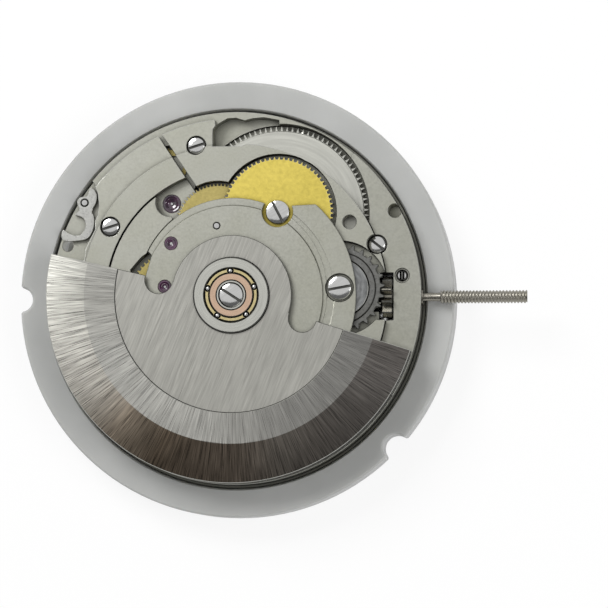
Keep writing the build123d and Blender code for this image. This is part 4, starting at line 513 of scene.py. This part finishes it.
# painted shade with oil in the crown wheel's bay: (x, y), radius, height of its floor and of its rim, tone
crownBayShade = (crownPlace[:2], 3.5, 3.0, 4.37, (0.28, 0.27, 0.25))
finishes = {
    "plated_brass": satinMetal("satinNickel", nickel, 0.40, shadedBay=crownBayShade),
    "holder_plastic": milkyPlastic("milkyHolder"),
    "rotor_brass": brushedMetal("brushedRotorPlate", (0.365, 0.36, 0.33), 0.33, 68.0),
    "heavy_metal": rayBrushedWeightPaintedReflection("brushedWeightPaintedReflection", weightSettings),
    "polished_steel": polishedMetal("polishedSteel", (0.62, 0.62, 0.61), 0.12),
    "dark_steel": satinMetal("greySteel", (0.17, 0.17, 0.165), 0.3, grain=6000.0, contrast=0.12),
    "drum_steel": turnedMetal(
        "turnedDrum", (0.46, 0.46, 0.42), 0.33, barrelPlace, contrast=0.06, ringScale=5000.0),
    "bright_brass": satinMetal(
        "yellowBrass", (0.64, 0.52, 0.12), 0.34, grain=3600.0, contrast=0.025, stain=0.09),
    "train_brass": satinMetal(
        "darkBrass", (0.42, 0.35, 0.13), 0.32, grain=7000.0, contrast=0.06, stain=0.12),
    "ruby": rubyGlass("rubyStone"),
    "rose_gold": turnedMetal("roseGold", (0.62, 0.44, 0.32), 0.24),
    "cage_brass": satinMetal("paleBrass", (0.60, 0.51, 0.27), 0.28),
    "spring_steel": polishedMetal("blueGreySpring", (0.34, 0.37, 0.45), 0.2),
}
extraFinishes = {
    "plateNickel": satinMetal("plateNickel", shade(nickel, 0.94), 0.40, deepest=0.42, shadedBay=crownBayShade),
    "stemSteel": satinMetal(
        "stemSteel", (0.30, 0.285, 0.25), 0.26, grain=6500.0, contrast=0.06, stain=0.1, deepest=0.3),
    "brightEdge": polishedMetal("brightEdge", (0.44, 0.44, 0.41), 0.38),
    # painted shade for screw slots and the dark lines in the gaps between parts
    "slotShade": satinMetal("slotShade", (0.10, 0.10, 0.095), 0.45, grain=6000.0, contrast=0.2),
    "pivotSteel": polishedMetal("pivotSteel", (0.55, 0.55, 0.55), 0.18),
    "bearingSilver": turnedMetal("bearingSilver", (0.50, 0.50, 0.46), 0.26, contrast=0.03),
    "clampSteel": satinMetal("paleClampSteel", (0.44, 0.44, 0.42), 0.3, grain=6500.0, stain=0.04),
    "crownRing": turnedMetal(
        "polishedCrownRing", (0.25, 0.255, 0.255), 0.18, crownPlace, contrast=0.4, ringScale=3000.0),
}
slotOf = {entry["node"]: entry["material_slot"] for entry in frame["record"]["subparts"]}
for node, slotName in slotOf.items():
    piece = nodes[node]
    piece.data.materials.clear()
    piece.data.materials.append(finishes[slotName])
print("finishes given to the nodes")


# pieces finished by hand: a copy of the solid with its edges broken and polished, or darkened with painted
# shade
bodyOf = {node: body for body, members in frame["record"]["behaviour"]["bodies"].items() for node in members}
# edges in the dark gap finish are painted shade in the gaps between parts
edgeSettings = {
    # node: edge width in mm, finish of its faces, finish of its edges, or None for its own,
    # and the radius about its joint's axis inside which it is polished steel
    "holder_ring": (0.12, None, None, 0), "main_plate": (0.03, "plateNickel", "brightEdge", 0),
    "train_bridge": (0.035, None, "brightEdge", 0), "barrel_bridge": (0.035, None, "brightEdge", 0),
    "balance_cock": (0.03, None, "brightEdge", 0), "auto_lower_plate": (0.03, None, "brightEdge", 0),
    "auto_bridge": (0.035, None, None, 0), "rotor_plate": (0.035, None, "slotShade", 0),
    "rotor_weight": (0.035, None, "brightEdge", 0), "crown_wheel": (0.05, None, "slotShade", 0),
    "crown_core": (0.04, "crownRing", "brightEdge", 0), "ratchet_wheel": (0.02, None, "brightEdge", 0),
    "driving_wheel": (0.015, None, "brightEdge", 0), "barrel_drum": (0.02, None, "brightEdge", 0),
    "dial_foot_clamp": (0.035, "clampSteel", "brightEdge", 0),
    "winding_pinion": (0.05, "stemSteel", "slotShade", 0),
    "bearing_outer_ring": (0.075, "bearingSilver", "slotShade", 0),
    "bearing_race": (0.05, None, "slotShade", 0),
    "bearing_core": (0.03, "bearingSilver", "slotShade", 0), "bearing_cage": (0.06, None, "slotShade", 0),
    "pressed_studs": (0.055, None, "slotShade", 0), "setting_lever_pusher": (0.11, None, "slotShade", 0),
    "reduction_wheel": (0.015, None, "brightEdge", 0.4), "great_wheel": (0.012, None, "brightEdge", 0.5),
    "third_wheel": (0.012, None, "brightEdge", 0.4), "seconds_wheel": (0.012, None, "brightEdge", 0.4),
    "reversing_wheel_a": (0.012, None, "brightEdge", 0.4),
    "reversing_wheel_b": (0.012, None, "brightEdge", 0.4),
}
edgeTool = {"flatAngle": 0.5, "sharpAngle": 40.0, "smoothAngle": 28.0, "faceWeight": 100}
joints = frame["record"]["behaviour"]["joints"]
jointPlaces = {joint["child"]: joint["pos_m"] for joint in joints if joint["type"] == "hinge"}


def copyOfNode(node, name):
    # a free copy with its own mesh, whose loose triangles are merged, left in edit mode
    bpy.ops.object.select_all(action="DESELECT")
    nodes[node].select_set(True)
    bpy.context.view_layer.objects.active = nodes[node]
    bpy.ops.object.duplicate(linked=False)
    piece = bpy.context.object
    bpy.ops.object.parent_clear(type="CLEAR_KEEP_TRANSFORM")
    for key in list(piece.keys()):
        del piece[key]
    piece.name = name
    piece.data.materials.clear()
    bpy.ops.object.mode_set(mode="EDIT")
    bpy.ops.mesh.select_all(action="SELECT")
    bpy.ops.mesh.remove_doubles(threshold=mergeDistance * mm)
    return piece


def finishedCopy(node, width, finish, edgeFinish, steelRadius, s):
    piece = copyOfNode(node, node + "_finished")
    piece.data.materials.append(extraFinishes[finish] if finish else finishes[slotOf[node]])
    piece.data.materials.append(extraFinishes[edgeFinish] if edgeFinish else finishes[slotOf[node]])
    piece.data.materials.append(extraFinishes["pivotSteel"])
    bpy.ops.mesh.dissolve_limited(angle_limit=math.radians(s["flatAngle"]))
    bpy.ops.object.mode_set(mode="OBJECT")
    edge = piece.modifiers.new("edge", "BEVEL")
    edge.width = width * mm
    edge.segments = 1
    edge.limit_method = "ANGLE"
    edge.angle_limit = math.radians(s["sharpAngle"])
    edge.use_clamp_overlap = False
    edge.material = 1  # the edges' finish, painted shade where it is the dark gap finish
    bpy.ops.object.modifier_apply(modifier="edge")
    bpy.ops.object.shade_smooth_by_angle(angle=math.radians(s["smoothAngle"]))
    # flat faces stay flat, and only the broken edges turn the light
    flat = piece.modifiers.new("flat", "WEIGHTED_NORMAL")
    flat.mode = "FACE_AREA"
    flat.weight = s["faceWeight"]
    flat.keep_sharp = True
    bpy.ops.object.modifier_apply(modifier="flat")
    if steelRadius:
        x, y, _ = jointPlaces[bodyOf[node]]
        inside = [math.hypot(point.co.x - x, point.co.y - y) < steelRadius * mm
                  for point in piece.data.vertices]
        for face in piece.data.polygons:
            if all(inside[i] for i in face.vertices):
                face.material_index = 2  # the pivots' steel
    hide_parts(node)
    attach(piece, bodyOf[node])


for node, settings in edgeSettings.items():
    finishedCopy(node, *settings, edgeTool)
print("edges finished on", len(edgeSettings), "pieces")


# screws: domed polished heads with a slot darkened by painted shade and its rough floor, on their own shanks
screwSettings = {
    "sides": 48, "headHeight": 0.28, "shankShare": 0.45, "tipShare": 0.8, "tipHeight": 0.06,
    "slotWidth": 0.18, "slotDepth": 0.12, "bladeShare": 2.4, "bladeHeight": 0.5, "smoothAngle": 32.0,
    # the head's outline from its rim to its crown: share of its radius, drop from its top in mm
    "dome": [(1.0, 0.11), (0.95, 0.062), (0.82, 0.036), (0.62, 0.016), (0.36, 0.005), (0.08, 0.0)],
    "groups": {
        # node: [(x, y), head radius, shank foot, head top, slot turn in degrees]
        "bridge_screws": [
            ((-7.093, -7.877), 0.59, 2.60, 4.56, 24.0), ((-2.655, 10.417), 0.59, 2.60, 4.56, 17.5),
            ((-8.495, 4.826), 0.59, 2.60, 5.16, 17.5), ((9.798, 3.547), 0.59, 2.60, 4.56, -38.0)],
        "auto_screws": [
            ((7.311, 0.530), 0.81, 4.44, 5.72, 10.0), ((-5.400, -2.599), 0.36, 4.10, 5.72, 35.0),
            ((-3.200, -3.200), 0.36, 4.10, 5.72, 35.0)],
        "ratchet_screw": [((3.057, 5.736), 0.81, 4.40, 5.58, -62.0)],
        "bearing_screw": [((0.0, 0.0), 0.82, 5.10, 6.52, -33.0)],
    },
}


def growOutline(outline, x, y):
    # extrudes the selected ring from point to point of a turned outline of (radius, height)
    for (fromRadius, fromHeight), (toRadius, toHeight) in zip(outline, outline[1:]):
        rise, growth = (toHeight - fromHeight) * mm, toRadius / fromRadius
        bpy.ops.mesh.extrude_region_move(TRANSFORM_OT_translate={"value": (0, 0, rise)})
        bpy.ops.transform.resize(value=(growth, growth, 1), center_override=(x, y, toHeight * mm))


def screwHead(name, place, radius, foot, top, turn, s):
    x, y = place[0] * mm, place[1] * mm
    seat = top - s["headHeight"]
    shank = radius * s["shankShare"]
    outline = [(shank * s["tipShare"], foot), (shank, foot + s["tipHeight"]), (shank, seat), (radius, seat)]
    outline += [(radius * share, top - drop) for share, drop in s["dome"]]
    bpy.ops.object.select_all(action="DESELECT")
    bpy.ops.mesh.primitive_circle_add(
        vertices=s["sides"], radius=outline[0][0] * mm, fill_type="NGON", location=(x, y, outline[0][1] * mm))
    screw = bpy.context.object
    screw.name = name
    bpy.ops.object.mode_set(mode="EDIT")
    bpy.ops.mesh.select_all(action="SELECT")
    growOutline(outline, x, y)
    bpy.ops.mesh.select_all(action="SELECT")
    bpy.ops.mesh.normals_make_consistent(inside=False)
    bpy.ops.object.mode_set(mode="OBJECT")
    bpy.ops.object.transform_apply(location=True, rotation=True, scale=True)
    screw.data.materials.append(finishes["polished_steel"])
    # the slot is cut by a blade whose dark finish it takes: painted shade, with a rough floor
    middle = top - s["slotDepth"] + s["bladeHeight"] / 2
    bpy.ops.mesh.primitive_cube_add(size=1, location=(x, y, middle * mm))
    blade = bpy.context.object
    blade.scale = (s["bladeShare"] * radius * mm, s["slotWidth"] * mm, s["bladeHeight"] * mm)
    blade.rotation_euler = (0, 0, math.radians(turn))
    bpy.ops.object.transform_apply(location=True, rotation=True, scale=True)
    blade.data.materials.append(extraFinishes["slotShade"])
    bpy.context.view_layer.objects.active = screw
    cut = screw.modifiers.new("slot", "BOOLEAN")
    cut.operation = "DIFFERENCE"
    cut.solver = "EXACT"
    cut.object = blade
    cut.material_mode = "TRANSFER"
    bpy.ops.object.modifier_apply(modifier="slot")
    bpy.data.objects.remove(blade)
    bpy.ops.object.select_all(action="DESELECT")
    screw.select_set(True)
    bpy.ops.object.shade_smooth_by_angle(angle=math.radians(s["smoothAngle"]))
    return screw


def joinPieces(name, pieces):
    bpy.ops.object.select_all(action="DESELECT")
    for piece in pieces:
        piece.select_set(True)
    bpy.context.view_layer.objects.active = pieces[0]
    if len(pieces) > 1:
        bpy.ops.object.join()
    joined = bpy.context.view_layer.objects.active
    joined.name = name
    bpy.ops.object.select_all(action="DESELECT")
    return joined


for node, screws in screwSettings["groups"].items():
    group = [screwHead(f"{node}_{i}", *screw, screwSettings) for i, screw in enumerate(screws)]
    group = joinPieces(node + "_turned", group)
    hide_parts(node)
    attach(group, bodyOf[node])
print("screws turned and slotted")


# jewels: round stones with an oil cup about the pivot hole
jewelSettings = {
    "sides": 56, "hole": 0.12, "cupDepth": 0.13, "edge": 0.03, "smoothAngle": 40.0,
    # the cup's outline: share of the stone's radius, share of the cup's depth
    "cup": [(0.74, 0.0), (0.66, 0.3), (0.50, 0.68), (0.32, 0.93)],
    "groups": {
        # node: [(x, y), radius, low, high]
        "auto_jewels": [((-4.639, 0.650), 0.45, 5.36, 5.76), ((-4.219, 3.610), 0.45, 5.36, 5.76)],
        "train_jewels": [
            ((-4.350, 6.450), 0.62, 4.10, 4.38), ((0.000, 0.000), 0.45, 4.10, 4.38),
            ((-2.635, 2.452), 0.45, 4.10, 4.38), ((-1.957, -2.795), 0.45, 4.10, 4.38),
            ((-2.635, 2.452), 0.45, 3.31, 3.55), ((-1.957, -2.795), 0.45, 2.56, 2.80),
            ((-4.350, 6.450), 0.45, 2.88, 3.12), ((-0.753, -4.895), 0.45, 2.56, 2.80)],
    },
}


def jewelStone(name, place, radius, low, high, s):
    x, y = place[0] * mm, place[1] * mm
    edge = s["edge"]
    outline = [(radius, low), (radius, high - edge), (radius - edge, high)]
    outline += [(radius * share, high - s["cupDepth"] * depth) for share, depth in s["cup"]]
    outline += [(s["hole"], high - s["cupDepth"]), (s["hole"], low), (radius, low)]
    bpy.ops.object.select_all(action="DESELECT")
    bpy.ops.mesh.primitive_circle_add(
        vertices=s["sides"], radius=radius * mm, fill_type="NOTHING", location=(x, y, low * mm))
    stone = bpy.context.object
    stone.name = name
    bpy.ops.object.mode_set(mode="EDIT")
    bpy.ops.mesh.select_all(action="SELECT")
    growOutline(outline, x, y)
    bpy.ops.mesh.select_all(action="SELECT")
    bpy.ops.mesh.remove_doubles(threshold=mergeDistance * mm)
    bpy.ops.mesh.normals_make_consistent(inside=False)
    bpy.ops.object.mode_set(mode="OBJECT")
    bpy.ops.object.transform_apply(location=True, rotation=True, scale=True)
    stone.data.materials.append(finishes["ruby"])
    bpy.ops.object.shade_smooth_by_angle(angle=math.radians(s["smoothAngle"]))
    return stone


for node, stones in jewelSettings["groups"].items():
    group = [jewelStone(f"{node}_{i}", *stone, jewelSettings) for i, stone in enumerate(stones)]
    group = joinPieces(node + "_cupped", group)
    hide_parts(node)
    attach(group, bodyOf[node])
print("jewels cupped")


# the stem, with a real thread on its outer end
stemSettings = {
    "axisHeight": 3.9, "threadStart": 14.1, "threadEnd": 20.0, "tip": 0.45, "root": 0.365, "pitch": 0.225,
    "steps": 28, "leadTurns": 1.37, "spareTurns": 3, "overlap": 0.02,
    "cutThreshold": 0.0001, "flatAngle": 0.5, "drawSize": 0.1, "smoothAngle": 30.0,
    # one turn of the thread: share of the pitch, share of the height from root to tip
    "tooth": [(0.0, 0.0), (0.14, 0.0), (0.46, 1.0), (0.68, 1.0), (1.0, 0.0)],
}


def threadedStem(s):
    height = s["axisHeight"] * mm
    start, end, pitch = s["threadStart"] * mm, s["threadEnd"] * mm, s["pitch"] * mm
    # the plain part, cut off just inside the thread
    plain = copyOfNode("winding_stem", "plainStem")
    bpy.ops.mesh.bisect(
        plane_co=(start + s["overlap"] * mm, 0, height), plane_no=(1, 0, 0), use_fill=True, clear_outer=True,
        threshold=s["cutThreshold"] * mm)
    bpy.ops.mesh.select_all(action="SELECT")
    bpy.ops.mesh.dissolve_limited(angle_limit=math.radians(s["flatAngle"]))
    bpy.ops.object.mode_set(mode="OBJECT")
    # one tooth drawn along the stem from a single point, then wound by a screw modifier
    depth = s["tip"] - s["root"]
    first = start - s["leadTurns"] * pitch
    points = [Vector((first + share * pitch, 0, (s["root"] + depth * rise) * mm))
              for share, rise in s["tooth"]]
    bpy.ops.object.select_all(action="DESELECT")
    bpy.ops.mesh.primitive_plane_add(size=s["drawSize"] * mm, location=points[0])
    thread = bpy.context.object
    thread.name = "threadTooth"
    bpy.ops.object.transform_apply(location=True, rotation=True, scale=True)
    bpy.ops.object.mode_set(mode="EDIT")
    bpy.ops.mesh.select_all(action="SELECT")
    bpy.ops.mesh.merge(type="CENTER")
    for here, there in zip(points, points[1:]):
        bpy.ops.mesh.extrude_region_move(TRANSFORM_OT_translate={"value": there - here})
    bpy.ops.object.mode_set(mode="OBJECT")
    wind = thread.modifiers.new("wind", "SCREW")
    wind.axis = "X"
    wind.angle = math.tau
    wind.screw_offset = pitch
    wind.iterations = math.ceil((end - start) / pitch) + s["spareTurns"]
    wind.steps = wind.render_steps = s["steps"]
    wind.use_merge_vertices = True
    wind.merge_threshold = mergeDistance * mm
    bpy.ops.object.modifier_apply(modifier="wind")
    bpy.ops.object.mode_set(mode="EDIT")
    bpy.ops.mesh.select_all(action="SELECT")
    bpy.ops.mesh.remove_doubles(threshold=mergeDistance * mm)
    for place, side in ((start, -1), (end, 1)):
        bpy.ops.mesh.select_all(action="SELECT")
        bpy.ops.mesh.bisect(
            plane_co=(place, 0, 0), plane_no=(side, 0, 0), use_fill=True, clear_outer=True,
            threshold=s["cutThreshold"] * mm)
    bpy.ops.mesh.select_all(action="SELECT")
    bpy.ops.mesh.normals_make_consistent(inside=False)
    bpy.ops.transform.translate(value=(0, 0, height))
    bpy.ops.object.mode_set(mode="OBJECT")
    for piece in (plain, thread):
        piece.data.materials.clear()
        piece.data.materials.append(extraFinishes["stemSteel"])
    stem = joinPieces("threadedStem", [plain, thread])
    stem.select_set(True)
    bpy.ops.object.shade_smooth_by_angle(angle=math.radians(s["smoothAngle"]))
    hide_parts("winding_stem")
    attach(stem, "stem")
    return stem


stem = threadedStem(stemSettings)
print("stem threaded", len(stem.data.polygons), "faces")

scene.view_settings.view_transform = "Standard"
